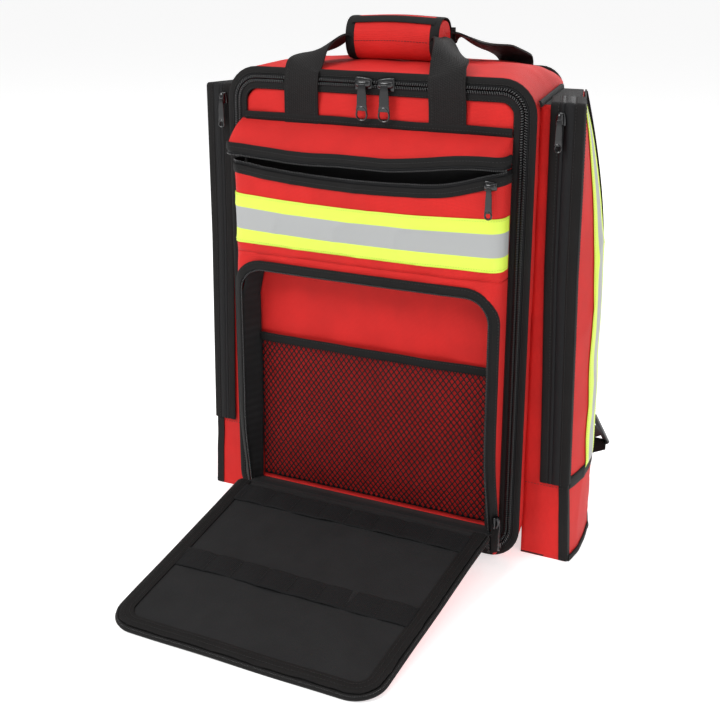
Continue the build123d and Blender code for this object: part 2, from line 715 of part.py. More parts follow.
def make_back_pads():
    """The two ventilated back pads and the lumbar pad below them."""
    outline = RectangleRounded(PAD_WIDTH, PAD_TOP - PAD_BOTTOM, PAD_R)
    x = (PAD_SPACE + PAD_WIDTH) / 2
    right = slab_xz(Pos(x, (PAD_TOP + PAD_BOTTOM) / 2) * outline, REAR, REAR + PAD_THICK)
    lumbar = RectangleRounded(LUMBAR_WIDTH, LUMBAR_HIGH - LUMBAR_LOW, PAD_R)
    lumbar = Pos(0, (LUMBAR_HIGH + LUMBAR_LOW) / 2) * lumbar
    right, left = both_sides(right)
    return {
        "back_pad_right": right,
        "back_pad_left": left,
        "lumbar_pad": slab_xz(lumbar, REAR, REAR + LUMBAR_THICK),
    }


def make_sliders():
    """Every zip slider and its pull, where each one rests."""
    pieces = {}
    along, across = MAIN_SLIDER
    for name, x in zip(("main_left", "main_right"), MAIN_SLIDERS_X):
        place = (x, ZIP_FACE, HEIGHT - FLANGE)
        pieces[name + "_slider"] = make_slider(*place, along, across)
        pieces[name + "_pull"] = make_pull(*place, MAIN_PULL)

    along, across = SMALL_SLIDER
    place = (HALF_POCKET - MOUTH_MARGIN, POCKET_FACE - ZIP_THICK, MOUTH_Z)
    pieces["upper_slider"] = make_slider(*place, along, across)
    pieces["upper_pull"] = make_pull(*place, SMALL_PULL)

    side_x = half_width(SIDE_Y0) + SIDE_BULGE / 2
    for name, x in (("side_left", -side_x), ("side_right", side_x)):
        place = (x, SIDE_Y0 - ZIP_THICK, SIDE_TOP - along)
        pieces[name + "_slider"] = make_slider(*place, across, along)
        pieces[name + "_pull"] = make_pull(*place, SMALL_PULL)

    # The lid's slider rides on the side of the pocket, so it is made facing front and turned.
    quarter = Pos(HALF_POCKET, POCKET_FACE + across, 0) * Rot(0, 0, 90)
    place = (0, 0, HINGE_Z + along)
    pieces["lid_slider"] = quarter * make_slider(*place, across, along)
    pieces["lid_pull"] = quarter * make_pull(*place, SMALL_PULL)
    return pieces


def make_all():
    """Every sub-part by its node name."""
    parts = {"main_body": make_main_body()}
    parts["front_cover"] = slab_xz(front_outline(COVER_INSET), FRONT, FRONT + WALL)
    parts["cover_organiser"] = make_organiser()
    parts.update(make_inside())
    parts.update(make_main_zip())
    parts.update(make_upper_pocket())
    parts.update(make_lower_pocket())
    parts.update(make_lid())
    parts.update(make_front_loop())
    parts["rear_carry_loop"] = make_rear_loop()
    parts.update(make_back_pads())
    parts.update(make_sternum())
    parts.update(make_hip_belt())
    parts.update(make_sliders())
    pairs = make_side()
    pairs.update(shoulder_strap=make_strap(), ladder_lock=make_lock(), lower_webbing=make_lower_webbing())
    for name, solid in pairs.items():
        parts[name + "_right"], parts[name + "_left"] = both_sides(solid)
    return parts


def main():
    os.makedirs("parts", exist_ok=True)
    for name, solid in make_all().items():
        export_step(solid, os.path.join("parts", name + ".step"))


main()
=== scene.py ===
"""Looks of the trauma backpack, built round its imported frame.

Shapes are drawn in millimetres and made metres when a piece is finished. +Z is up, the front
faces -Y, and the wearer's back is towards +Y.
"""

import json
from math import asin, ceil, cos, exp, hypot, pi, radians, sin

import bmesh
import bpy
from mathutils import Matrix, Vector, noise


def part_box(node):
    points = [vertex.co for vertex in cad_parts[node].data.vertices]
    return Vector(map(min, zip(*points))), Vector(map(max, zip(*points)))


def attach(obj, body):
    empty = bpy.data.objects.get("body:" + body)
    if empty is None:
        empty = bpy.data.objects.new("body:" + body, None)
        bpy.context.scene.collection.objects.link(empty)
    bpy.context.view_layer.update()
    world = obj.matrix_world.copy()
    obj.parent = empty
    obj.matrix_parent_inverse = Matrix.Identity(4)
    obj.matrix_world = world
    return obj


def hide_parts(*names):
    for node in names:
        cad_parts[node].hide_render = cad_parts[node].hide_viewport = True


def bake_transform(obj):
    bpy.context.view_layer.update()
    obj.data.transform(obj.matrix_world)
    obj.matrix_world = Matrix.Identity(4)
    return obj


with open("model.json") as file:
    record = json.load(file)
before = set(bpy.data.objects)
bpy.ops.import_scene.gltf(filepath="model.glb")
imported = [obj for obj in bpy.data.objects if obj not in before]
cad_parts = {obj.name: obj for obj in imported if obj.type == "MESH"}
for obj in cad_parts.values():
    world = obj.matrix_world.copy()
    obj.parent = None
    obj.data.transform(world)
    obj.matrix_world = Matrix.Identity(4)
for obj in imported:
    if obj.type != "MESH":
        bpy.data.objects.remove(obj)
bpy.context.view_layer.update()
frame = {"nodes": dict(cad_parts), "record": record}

MM = 0.001
FRONTWARDS, UPWARDS, REARWARDS = Vector((0, -1, 0)), Vector((0, 0, 1)), Vector((0, 1, 0))


def box(node):
    """A frame node's lowest and highest corners, in millimetres."""
    return tuple(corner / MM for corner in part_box(node))


# ---------------------------------------------------------------- sizes taken from the frame
BODY_LOW, BODY_HIGH = box("main_body")
COVER_HIGH = box("front_cover")[1]
ZIP_LOW = box("main_zip_body_tape")[0]
UPPER_LOW, UPPER_HIGH = box("upper_pocket")
LOWER_HIGH = box("lower_pocket")[1]
MOUTH_LOW, MOUTH_HIGH = box("upper_zip")
TAPE_LOW, TAPE_HIGH = box("front_reflective_tape")
NET_LOW, NET_HIGH = box("mesh_pocket")
LID_HIGH = box("pocket_lid")[1]
SIDE_LOW, SIDE_HIGH = box("side_pocket_right")
DOOR_LOW = box("side_door_right")[0]
SIDE_TAPE_LOW, SIDE_TAPE_HIGH = box("side_reflective_tape_right")
GRIP_LOW, GRIP_HIGH = box("carry_grip")
LOOP_HIGH = box("front_carry_loop")[1]
REAR_LOOP_LOW = box("rear_carry_loop")[0]
LID_JOINT = next(j for j in frame["record"]["behaviour"]["joints"] if j["name"] == "lid_hinge")
LID_AXIS = Vector(LID_JOINT["pos_m"]) / MM

HALF = BODY_HIGH.x                      # half the body's width at its front
HEIGHT = BODY_HIGH.z
FRONT, REAR = BODY_LOW.y, BODY_HIGH.y
REAR_HALF = box("frame_sheet")[1].x + 6  # half its width at the wearer's back
CORNER = 34.0                           # radius of the front outline's corners
ZIP_INSET = HALF - COVER_HIGH.x         # where the two zip halves meet
POCKET = UPPER_HIGH.x                   # half the front pockets' width
FACE = UPPER_LOW.y                      # the front pockets' face
BULGE = FRONT - FACE
SPLIT = UPPER_LOW.z
HOOD_TOP = UPPER_HIGH.z
MOUTH_Z = (MOUTH_LOW.z + MOUTH_HIGH.z) / 2
HINGE_Z = LID_AXIS.z
OPENING_HALF = POCKET - 7
OPENING_TOP = LOWER_HIGH.z - 15
OPENING_R = 26.0                        # rounded upper corners of the lower pocket's opening
SIDE_Y0, SIDE_Y1 = SIDE_LOW.y, SIDE_HIGH.y
SIDE_TOP = SIDE_HIGH.z
DOOR_Z = DOOR_LOW.z
TAPE_SEAM = 2.2                         # stitches in from a reflective tape's edges
SIDES = ((1, "right"), (-1, "left"))
BINDING = 9.0                           # width of the bias binding that shows
WEB = 38.0                              # carry webbing's width


def half_width(y):
    """Half the main body's width at a depth y."""
    return HALF + (REAR_HALF - HALF) * (y - FRONT) / (REAR - FRONT)


def steps(count, start=0.0, end=1.0):
    """Evenly spaced values, both ends included."""
    return [start + (end - start) * i / count for i in range(count + 1)]


def mix(a, b, share):
    """The value a share of the way from a to b."""
    return a + (b - a) * share


def ease(value, low=0.0, high=1.0):
    """0 below low, 1 above high, and smooth between them."""
    share = min(1.0, max(0.0, (value - low) / (high - low)))
    return share * share * (3 - 2 * share)


def ripple(x, y, z, size, seed=0.0):
    """Soft noise from -1 to 1, with folds about as wide as size."""
    return noise.noise(Vector((x / size + seed, y / size, z / size)))


def creases(x, y, z, size, seed=0.0):
    """Sharp creases between soft hollows, from 0 to 1."""
    return 1 - min(1.0, 3 * abs(ripple(x, y, z, size, seed)))


def through(points, count):
    """A smooth line of count steps through given points."""
    points = [Vector(p) for p in points]
    ends = [2 * points[0] - points[1], *points, 2 * points[-1] - points[-2]]
    line = []
    for i in range(count + 1):
        place = (len(points) - 1) * i / count
        k = min(int(place), len(points) - 2)
        t = place - k
        a, b, c, d = ends[k:k + 4]
        line.append(
            0.5 * (2 * b + (c - a) * t + (2 * a - 5 * b + 4 * c - d) * t * t
                   + (3 * b - a - 3 * c + d) * t ** 3)
        )
    return line


def rounded(s, half, low, high, radius):
    """A point (x, z) on a rounded upright frame; s runs from 0 at the bottom middle to 10."""
    flip, s = (-1, 10 - s) if s >= 5 else (1, s)
    k = min(int(s), 4)
    t = s - k
    straight = half - radius
    if k == 0:
        x, z = straight * t, low
    elif k == 1:
        x, z = straight + radius * sin(t * pi / 2), low + radius - radius * cos(t * pi / 2)
    elif k == 2:
        x, z = half, mix(low + radius, high - radius, t)
    elif k == 3:
        x, z = straight + radius * cos(t * pi / 2), high - radius + radius * sin(t * pi / 2)
    else:
        x, z = straight * (1 - t), high
    return flip * x, z


def ring_stops(bottom=True):
    """Places along a rounded frame, close together in its corners."""
    stops = [i / 8 for i in range(8)] + [1 + i / 8 for i in range(8)]
    stops += [2 + i / 28 for i in range(28)] + [3 + i / 8 for i in range(8)]
    stops += steps(10, 4, 5)
    stops += [10 - s for s in reversed(stops[:-1])]
    return stops if bottom else [s for s in stops if 1 <= s <= 9]


# ---------------------------------------------------------------- making meshes
def finish(bm, name, finish_name, body, *nodes, thick=0.0, flip=False, smooth=40, levels=0):
    """Turns a bmesh in millimetres into a piece that rides on a body and stands for nodes."""
    if flip:
        bmesh.ops.reverse_faces(bm, faces=bm.faces)
    bmesh.ops.transform(bm, matrix=Matrix.Scale(MM, 4), verts=bm.verts)
    mesh = bpy.data.meshes.new(name)
    bm.to_mesh(mesh)
    bm.free()
    mesh.shade_smooth()
    mesh.set_sharp_from_angle(angle=radians(smooth))
    piece = bpy.data.objects.new(name, mesh)
    bpy.context.scene.collection.objects.link(piece)
    for each in finish_name.split("+"):
        mesh.materials.append(MATERIALS[each])
    if thick:
        wall = piece.modifiers.new("thickness", "SOLIDIFY")
        wall.thickness, wall.offset = thick * MM, -1
    if levels:
        smoother = piece.modifiers.new("smooth", "SUBSURF")
        smoother.levels = smoother.render_levels = levels
    if body:
        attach(piece, body)
    if nodes:
        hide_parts(*nodes)
    return piece


def cloth(wide, long, step, place, closed=False):
    """A flat cloth cut into squares of about step, then laid where place(u, v) says."""
    bm = bmesh.new()
    weave = bm.loops.layers.uv.new("cloth")
    columns, rows = max(1, round(wide / step)), max(1, round(long / step))
    bmesh.ops.create_grid(bm, x_segments=columns, y_segments=rows, size=0.5)
    for face in bm.faces:
        for loop in face.loops:
            loop[weave].uv = ((loop.vert.co.x + 0.5) * wide * MM, (loop.vert.co.y + 0.5) * long * MM)
    for vert in bm.verts:
        vert.co = place((vert.co.x + 0.5) * wide, (vert.co.y + 0.5) * long)
    if closed:
        bmesh.ops.remove_doubles(bm, verts=bm.verts, dist=0.01)
    return bm


def lay_weave(bm):
    """Gives every face the weave of the flat direction that it mostly faces."""
    weave = bm.loops.layers.uv.get("cloth") or bm.loops.layers.uv.new("cloth")
    bm.normal_update()
    for face in bm.faces:
        drop = max(range(3), key=lambda axis: abs(face.normal[axis]))
        u, v = [axis for axis in range(3) if axis != drop]
        for loop in face.loops:
            loop[weave].uv = (loop.vert.co[u] * MM, loop.vert.co[v] * MM)
    return bm


def drop_faces(bm, inside):
    """Cuts away the faces whose middle is inside."""
    gone = [face for face in bm.faces if inside(face.calc_center_median())]
    bmesh.ops.delete(bm, geom=gone, context="FACES")
    return bm


def directions(path, up, i, closed):
    """Across and up at a point of a path."""
    last = len(path) - 1
    before = path[i - 1] if i or closed else path[0]
    after = path[(i + 1) % len(path)] if i < last or closed else path[last]
    tangent = (after - before).normalized()
    hint = up[i] if isinstance(up, list) else up
    across = tangent.cross(hint).normalized()
    return tangent, across, across.cross(tangent).normalized()


def sweep(path, up, section, closed=False):
    """Carries a closed section, points (across, up), along a path. It may change along the way."""
    count = len(path) if closed else len(path) - 1
    around = len(section(0.0))
    bm = bmesh.new()
    weave = bm.loops.layers.uv.new("cloth")
    bmesh.ops.create_grid(bm, x_segments=count, y_segments=around, size=0.5)
    run = [0.0]
    for a, b in zip(path, path[1:] + path[:1]):
        run.append(run[-1] + (b - a).length)
    first = section(0.0)
    girth = [0.0]
    for a, b in zip(first, first[1:] + first[:1]):
        girth.append(girth[-1] + hypot(a[0] - b[0], a[1] - b[1]))
    places = {}
    for vert in bm.verts:
        places[vert] = round((vert.co.x + 0.5) * count), round((vert.co.y + 0.5) * around)
    for face in bm.faces:
        for loop in face.loops:
            i, j = places[loop.vert]
            loop[weave].uv = (run[i] * MM, girth[j] * MM)
    for vert, (i, j) in places.items():
        at = i % len(path)
        tangent, across, upright = directions(path, up, at, closed)
        a, b = section(i / count)[j % around]
        vert.co = path[at] + across * a + upright * b
    bmesh.ops.remove_doubles(bm, verts=bm.verts, dist=0.005)
    if not closed:
        bmesh.ops.holes_fill(bm, edges=bm.edges, sides=0)
    bmesh.ops.recalc_face_normals(bm, faces=bm.faces)
    return bm


def band(wide, thick, crown=0.0, lift=0.0):
    """A flat strip's section with soft edges, raised in the middle by crown."""
    half, points = wide / 2, []
    for x in (-1, -0.9, -0.5, 0, 0.5, 0.9, 1):
        edge = 0.5 if abs(x) == 1 else 1.0
        points.append((x * half, lift + thick / 2 + edge * thick / 2 + crown * (1 - x * x)))
    for x in (1, 0.9, 0, -0.9, -1):
        edge = 0.5 if abs(x) == 1 else 1.0
        points.append((x * half, lift + thick / 2 - edge * thick / 2))
    return lambda share: points


def folded(leg, thick):
    """The section of a binding folded round a right-angled corner, a leg on each face."""
    reach, skin, under = leg * 0.5 ** 0.5, thick * 0.5 ** 0.5, 0.2
    points = [(-reach - skin, -reach + skin), (-skin, skin), (skin, skin), (reach + skin, -reach + skin)]
    points += [(reach - under, -reach - under), (0, -2 * under), (-reach + under, -reach - under)]
    return lambda share: points


def tube(radius, squash=1.0, count=8):
    """A cord's section; squash changes its height."""
    angles = steps(count, 0, 2 * pi)[:-1]
    points = [(radius * cos(angle), squash * radius * sin(angle)) for angle in angles]
    return lambda share: points


COIL_PITCH, COIL_TOOTH = 1.8, (1.3, 2.6, 1.7)   # the smaller zips
BATCH = 30                              # beads made at a time, which keeps each step quick


def join(bm, extra):
    """Moves everything in extra into bm."""
    mesh = bpy.data.meshes.new("extra")
    extra.to_mesh(mesh)
    extra.free()
    bm.from_mesh(mesh)
    bpy.data.meshes.remove(mesh)


def beads(bm, path, up, pitch, size, across=0.0, lift=0.0, lean=0.0, start=0.0, sides=6):
    """Adds small rounded pieces along a path: teeth or stitches. size is (along, across, up)."""
    travelled, due, batch, waiting = 0.0, start, bmesh.new(), 0
    for i, (a, b) in enumerate(zip(path, path[1:])):
        length = (b - a).length
        while due <= travelled + length and length:
            share = (due - travelled) / length
            tangent, side, upright = directions(path, up, i, False)
            spot = a.lerp(b, share) + side * across + upright * lift
            axes = Matrix((tangent, side, upright)).transposed()
            turn = axes @ Matrix.Rotation(lean, 3, "Z")
            place = Matrix.Translation(spot) @ turn.to_4x4() @ Matrix.Diagonal((*size, 1))
            bmesh.ops.create_uvsphere(batch, u_segments=sides, v_segments=4, radius=0.5, matrix=place)
            due += pitch
            waiting += 1
            if waiting == BATCH:
                join(bm, batch)
                batch, waiting = bmesh.new(), 0
        travelled += length
    join(bm, batch)


def teeth(name, body, path, up, pitch, size, *places):
    """A row of a zip's coil teeth."""
    bm = bmesh.new()
    beads(bm, path, up, pitch, size, *places)
    finish(bm, name, "teeth", body, smooth=180)


def stitched(name, body, runs, thread="black_thread", pitch=3.2, length=2.3):
    """A seam's stitches along several runs of (path, up, across, lift)."""
    bm = bmesh.new()
    for path, up, across, lift in runs:
        beads(bm, path, up, pitch, (length, 0.7, 0.5), across, lift, start=1.0, sides=5)
    finish(bm, name, thread, body, smooth=180)


def bound(name, body, path, up, section, *nodes, closed=False):
    """A strip of binding swept along a path."""
    finish(sweep(path, up, section, closed), name, "binding", body, *nodes)


def copied(node):
    """A frame node's shape as a closed mesh in millimetres."""
    bm = bmesh.new()
    bm.from_mesh(frame["nodes"][node].data)
    bmesh.ops.transform(bm, matrix=Matrix.Scale(1 / MM, 4), verts=bm.verts)
    bmesh.ops.remove_doubles(bm, verts=bm.verts, dist=0.01)
    bmesh.ops.dissolve_limit(bm, angle_limit=radians(1), verts=bm.verts, edges=bm.edges)
    return bm


SHARP = 0.6                             # edges that turn more than this, in radians, are rounded


def moulded(node, finish_name, body, radius, segments=3, name=None):
    """A hard piece with its frame node's shape and rounded edges."""
    bm = copied(node)
    sharp = [edge for edge in bm.edges if len(edge.link_faces) == 2 and edge.calc_face_angle() > SHARP]
    bmesh.ops.bevel(
        bm, geom=sharp, offset=radius, segments=segments, profile=0.5, affect="EDGES", material=-1,
        clamp_overlap=True,
    )
    lay_weave(bm)
    return finish(bm, name or node + "_shape", finish_name, body, node, smooth=50)


# ---------------------------------------------------------------- materials
MIX_FIRST, MIX_SECOND, MIX_RESULT = 6, 7, 2     # a Mix node's sockets in its colour mode
PATCHES = 30.0                                  # patches of uneven dye to the metre


def group(name, inputs, outputs):
    """An empty shader node group with named value sockets."""
    tree = bpy.data.node_groups.new(name, "ShaderNodeTree")
    for each in inputs:
        tree.interface.new_socket(each, in_out="INPUT", socket_type="NodeSocketFloat")
    for each in outputs:
        tree.interface.new_socket(each, in_out="OUTPUT", socket_type="NodeSocketFloat")
    return tree, tree.nodes.new("NodeGroupInput").outputs, tree.nodes.new("NodeGroupOutput").inputs


def add(tree, kind, *values, **settings):
    """Adds a node, then links or sets its inputs in order."""
    made = tree.nodes.new(kind)
    for key, value in settings.items():
        setattr(made, key, value)
    for i, value in enumerate(values):
        if isinstance(value, bpy.types.NodeSocket):
            tree.links.new(value, made.inputs[i])
        elif value is not None:
            made.inputs[i].default_value = value
    return made


def maths(tree, operation, *values):
    """The result of a Math node."""
    return add(tree, "ShaderNodeMath", *values, operation=operation).outputs[0]


def make_weave_group():
    """Threads over and under: waves along the cloth's own two directions."""
    tree, inputs, outputs = group("weave", ("Across", "Along", "Slant"), ("Height",))
    uv = add(tree, "ShaderNodeUVMap", uv_map="cloth").outputs[0]
    place = add(tree, "ShaderNodeSeparateXYZ", uv).outputs
    slant = maths(tree, "MULTIPLY", place[1], inputs["Slant"])
    across = maths(tree, "MULTIPLY_ADD", place[0], inputs["Across"], slant)
    along = maths(tree, "MULTIPLY", place[1], inputs["Along"])
    waves = [maths(tree, "SINE", maths(tree, "MULTIPLY", each, 2 * pi)) for each in (across, along)]
    both = maths(tree, "ADD", *waves)
    tree.links.new(maths(tree, "MULTIPLY_ADD", both, 0.25, 0.5), outputs["Height"])
    return tree


def make_mottle_group():
    """Uneven dye in soft patches, and single fibres."""
    tree, inputs, outputs = group("mottle", ("Patch",), ("Shade", "Fibre"))
    place = add(tree, "ShaderNodeTexCoord").outputs["Object"]
    patch = add(tree, "ShaderNodeTexNoise", place, None, inputs["Patch"], 3.0).outputs[0]
    shade = add(tree, "ShaderNodeMapRange", patch, 0.32, 0.68, 0.0, 1.0).outputs[0]
    fibre = add(tree, "ShaderNodeTexNoise", place, None, 1400.0, 1.0).outputs[0]
    tree.links.new(shade, outputs["Shade"])
    tree.links.new(fibre, outputs["Fibre"])
    return tree


def shader(name, roughness, **sockets):
    """A material, its tree and its surface shader with plain values set."""
    made = bpy.data.materials.new(name)
    made.use_nodes = True
    tree = made.node_tree
    surface = tree.nodes["Principled BSDF"]
    surface.inputs["Roughness"].default_value = roughness
    for key, value in sockets.items():
        surface.inputs[key.replace("_", " ")].default_value = value
    return made, tree, surface


def blended(tree, share, first, second):
    """One colour turning into another by a share. Each is a socket or (red, green, blue)."""
    made = add(tree, "ShaderNodeMix", share, data_type="RGBA")
    for place, color in ((MIX_FIRST, first), (MIX_SECOND, second)):
        if isinstance(color, bpy.types.NodeSocket):
            tree.links.new(color, made.inputs[place])
        else:
            made.inputs[place].default_value = (*color, 1)
    return made.outputs[MIX_RESULT]


def surface_detail(tree, surface, color, depth, weave=None, fibre=0.3, strength=0.6, deep=0.0004):
    """Mottled colour with painted shade in the weave's gaps, and the bump of the weave and its fibres."""
    mottle = add(tree, "ShaderNodeGroup", PATCHES, node_tree=MOTTLE)
    share = maths(tree, "MULTIPLY_ADD", mottle.outputs["Fibre"], 0.5, mottle.outputs["Shade"])
    share = maths(tree, "MULTIPLY", share, 0.67)
    height = maths(tree, "MULTIPLY", mottle.outputs["Fibre"], fibre)
    if weave:
        threads = add(tree, "ShaderNodeGroup", *weave, node_tree=WEAVE)
        height = maths(tree, "ADD", threads.outputs["Height"], height)
        # painted shade: the colour is darkened in the gaps between the threads
        lit = maths(tree, "MULTIPLY_ADD", threads.outputs["Height"], 1.4, -0.2)
        share = maths(tree, "MULTIPLY", share, lit)
    result = blended(tree, share, tuple(c * depth for c in color), color)
    bump = add(tree, "ShaderNodeBump", strength, deep)
    tree.links.new(height, bump.inputs["Height"])
    tree.links.new(bump.outputs[0], surface.inputs["Normal"])
    tree.links.new(result, surface.inputs["Base Color"])
    return result


# name: (slot, colour, darkest share, roughness, threads per metre (across, along, slant), sheen)
CLOTHS = {
    "red_cloth": ("red_fabric", (0.76, 0.020, 0.017), 0.72, 0.62, (800, 800, 0), 0.02),
    "black_cloth": ("black_fabric", (0.020, 0.020, 0.021), 0.55, 0.75, (800, 800, 0), 0.03),
    "lining": ("grey_lining", (0.16, 0.17, 0.19), 0.80, 0.85, (1500, 1500, 0), 0.05),
    "binding": ("webbing", (0.010, 0.009, 0.009), 0.45, 0.72, (560, 700, 300), 0.02),
    "webbing": ("webbing", (0.011, 0.009, 0.009), 0.30, 0.60, (430, 430, 215), 0.02),
    "elastic": ("webbing", (0.010, 0.010, 0.011), 0.5, 0.75, (600, 500, 0), 0.02),
    "zip_cloth": ("zip_tape", (0.006, 0.006, 0.007), 0.7, 0.5, (1400, 800, 0), 0.0),
    "spacer": ("spacer_mesh", (0.018, 0.018, 0.020), 0.45, 0.85, (330, 330, 165), 0.05),
    "net": ("black_mesh", (0.008, 0.008, 0.009), 0.7, 0.55, (1800, 1800, 0), 0.0),
    "foam": ("foam", (0.10, 0.10, 0.11), 0.7, 0.95, None, 0.0),
}
# name: (slot, colour, darkest share, roughness, coat)
HARD = {
    "teeth": ("zip_tape", (0.012, 0.012, 0.013), 0.8, 0.22, 0.5),
    "enamel": ("black_metal", (0.004, 0.004, 0.005), 0.8, 0.25, 0.3),
    "plastic": ("buckle_plastic", (0.035, 0.036, 0.040), 0.8, 0.42, 0.1),
    "board": ("board", (0.06, 0.06, 0.065), 0.8, 0.55, 0.0),
    "black_thread": ("webbing", (0.010, 0.010, 0.010), 0.8, 0.6, 0.0),
    "yellow_thread": ("reflective_tape", (0.55, 0.72, 0.08), 0.8, 0.6, 0.0),
}


def make_reflective():
    """Fluorescent yellow tape with a silver stripe along its middle; the yellow carries a painted glow."""
    # painted glow: the yellow gives off a little light of its own for its fluorescence
    made, tree, surface = shader("reflective", 0.5, Emission_Strength=0.07)
    uv = add(tree, "ShaderNodeUVMap", uv_map="cloth").outputs[0]
    width = add(tree, "ShaderNodeSeparateXYZ", uv).outputs[1]
    from_middle = maths(tree, "ABSOLUTE", maths(tree, "SUBTRACT", width, 0.026))
    silver = add(tree, "ShaderNodeMapRange", from_middle, 0.0114, 0.0118, 1.0, 0.0).outputs[0]
    yellow = surface_detail(tree, surface, (0.72, 0.90, 0.085), 0.94, (1600, 1600, 0), 0.2, 0.3)
    tree.links.new(blended(tree, silver, yellow, (0.40, 0.41, 0.41)), surface.inputs["Base Color"])
    painted_glow = blended(tree, silver, (0.55, 0.80, 0.06), (0, 0, 0))
    tree.links.new(painted_glow, surface.inputs["Emission Color"])
    return made


WEAVE = make_weave_group()
MOTTLE = make_mottle_group()
MATERIALS = {"reflective": make_reflective()}
SLOTS = {"reflective": "reflective_tape"}
for name, (slot, color, depth, roughness, weave, sheen) in CLOTHS.items():
    made, tree, surface = shader(name, roughness, Sheen_Weight=sheen, Specular_IOR_Level=0.22)
    surface_detail(tree, surface, color, depth, weave, deep=0.0009 if weave and weave[1] < 700 else 0.0004)
    MATERIALS[name], SLOTS[name] = made, slot
for name, (slot, color, depth, roughness, coat) in HARD.items():
    made, tree, surface = shader(name, roughness, Coat_Weight=coat, Coat_Roughness=0.2)
    surface_detail(tree, surface, color, depth, None, 0.3, 0.15)
    MATERIALS[name], SLOTS[name] = made, slot


# ---------------------------------------------------------------- camera, light and floor
def make_studio():
    """The camera, four soft lamps, a white sky and a pale floor."""
    camera = bpy.data.cameras.new("camera")
    camera.sensor_width, camera.lens, camera.shift_y = 36, 57.13, -0.083
    camera.clip_end = 50
    viewer = bpy.data.objects.new("camera", camera)
    viewer.location = (0.4877, -1.1054, 0.5981)
    target = Vector((-0.0496, -0.0257, 0.2317))
    viewer.rotation_euler = (target - viewer.location).to_track_quat("-Z", "Y").to_euler()
    bpy.context.scene.collection.objects.link(viewer)
    bpy.context.scene.camera = viewer
    bpy.context.scene.view_settings.view_transform = "Standard"

    for name, place, power, size in (
        ("key", (-1.3, -1.9, 2.3), 48, 1.2),
        ("fill", (1.9, -1.3, 1.1), 12, 1.8),
        ("top", (0.2, 0.5, 2.4), 22, 1.8),
        ("back", (0.3, 2.0, 1.3), 12, 1.8),
    ):
        lamp = bpy.data.lights.new(name, "AREA")
        lamp.energy, lamp.size = power, size
        holder = bpy.data.objects.new(name, lamp)
        holder.location = place
        holder.rotation_euler = (Vector((0, 0, 0.25)) - Vector(place)).to_track_quat("-Z", "Y").to_euler()
        bpy.context.scene.collection.objects.link(holder)

    sky = bpy.data.worlds.new("studio")
    sky.use_nodes = True
    sky.node_tree.nodes["Background"].inputs[0].default_value = (1, 1, 1, 1)
    sky.node_tree.nodes["Background"].inputs[1].default_value = 0.42
    bpy.context.scene.world = sky

    bm = bmesh.new()
    bmesh.ops.create_grid(bm, x_segments=1, y_segments=1, size=40)
    mesh = bpy.data.meshes.new("floor")
    bm.to_mesh(mesh)
    bm.free()
    floor = bpy.data.objects.new("floor", mesh)
    pale, tree, surface = shader("pale_floor", 0.9)
    surface.inputs["Base Color"].default_value = (0.80, 0.80, 0.80, 1)
    surface.inputs["Emission Color"].default_value = (1, 1, 1, 1)
    surface.inputs["Emission Strength"].default_value = 0.6
    mesh.materials.append(pale)
    bpy.context.scene.collection.objects.link(floor)


make_studio()


# ---------------------------------------------------------------- main body
def ring_path(inset, y, bottom=True):
    """The front outline, set in, as points that run up the right side and down the left."""
    radius = max(CORNER - inset, 4)
    return [
        Vector((x, y, z))
        for x, z in (rounded(s, HALF - inset, inset, HEIGHT - inset, radius) for s in ring_stops(bottom))
    ]


def make_main_body():
    """The soft red shell: a lipped front, a domed top and a stitched back."""
    stops = ring_stops()
    # How far in from the outline, and how deep, each ring of the shell lies.
    rings = [(11.2, FRONT + 0.6), (5, FRONT), (1.0, FRONT + 0.4), (0, FRONT + 3)]
    rings += [(0, y) for y in steps(17, FRONT + 10, REAR - 9)]
    rings += [(0.8, REAR - 4), (3.5, REAR - 0.8), (9, REAR), (40, REAR), (80, REAR), (120, REAR)]

    def place(u, v):
        inset, y = rings[round(v)]
        half = half_width(y) - inset
        radius = max(CORNER - inset * 0.9 - 14 * ease(y, FRONT + 30, REAR), 4)
        x, z = rounded(stops[round(u)], half, min(inset, 9), HEIGHT - inset, radius)
        share = (y - FRONT) / (REAR - FRONT)
        top = ease(z, HEIGHT - 30, HEIGHT - 2)
        dome = 7 * sin(pi * min(1, share * 1.15) ** 0.8) if abs(x) < half else 0
        dome *= max(0.0, cos(x / half_width(y) * pi / 2)) ** 0.7
        sag = -9 * ease(share, 0.55, 1.0) * ease(abs(x), 70, 125)
        fold = 2.0 * ripple(x, y, z, 46, 3.1) + 2.2 * creases(x, y, z, 60, 5.0) ** 2
        z += top * (dome + sag + fold * sin(pi * share))
        if y < REAR - 1 and abs(x) > half - 1 and z < HEIGHT - 40:
            loose = 1.4 * ripple(x, y, z, 34, 1.7) + 0.9 * creases(x, y, z, 40, 3.0) ** 2
            x += loose * sin(pi * share) ** 0.3
        return Vector((x, y, z))

    bm = cloth(len(stops) - 1, len(rings) - 1, 1, place, closed=True)
    bmesh.ops.holes_fill(bm, edges=[e for e in bm.edges if e.is_boundary and e.verts[0].co.y > 0], sides=0)
    bmesh.ops.triangulate(bm, faces=[f for f in bm.faces if len(f.verts) > 4])
    lay_weave(bm)
    finish(bm, "body_shell", "red_cloth", "pack", "main_body", thick=2.6, levels=1, flip=True)

    outer = ring_path(3.2, FRONT - 0.4)
    bound("body_binding", "pack", outer, FRONTWARDS, band(7.4, 1.4, 0.7), closed=True)
    stitched("body_binding_stitches", "pack", [(outer, FRONTWARDS, -2.3, 2.0)])
    outline = [rounded(s, REAR_HALF - 2, 4, HEIGHT - 7, 24) for s in ring_stops()]
    rear = [Vector((x, REAR - 0.6, z)) for x, z in outline]
    bound("rear_piping", "pack", rear, REARWARDS, tube(2.2), closed=True)


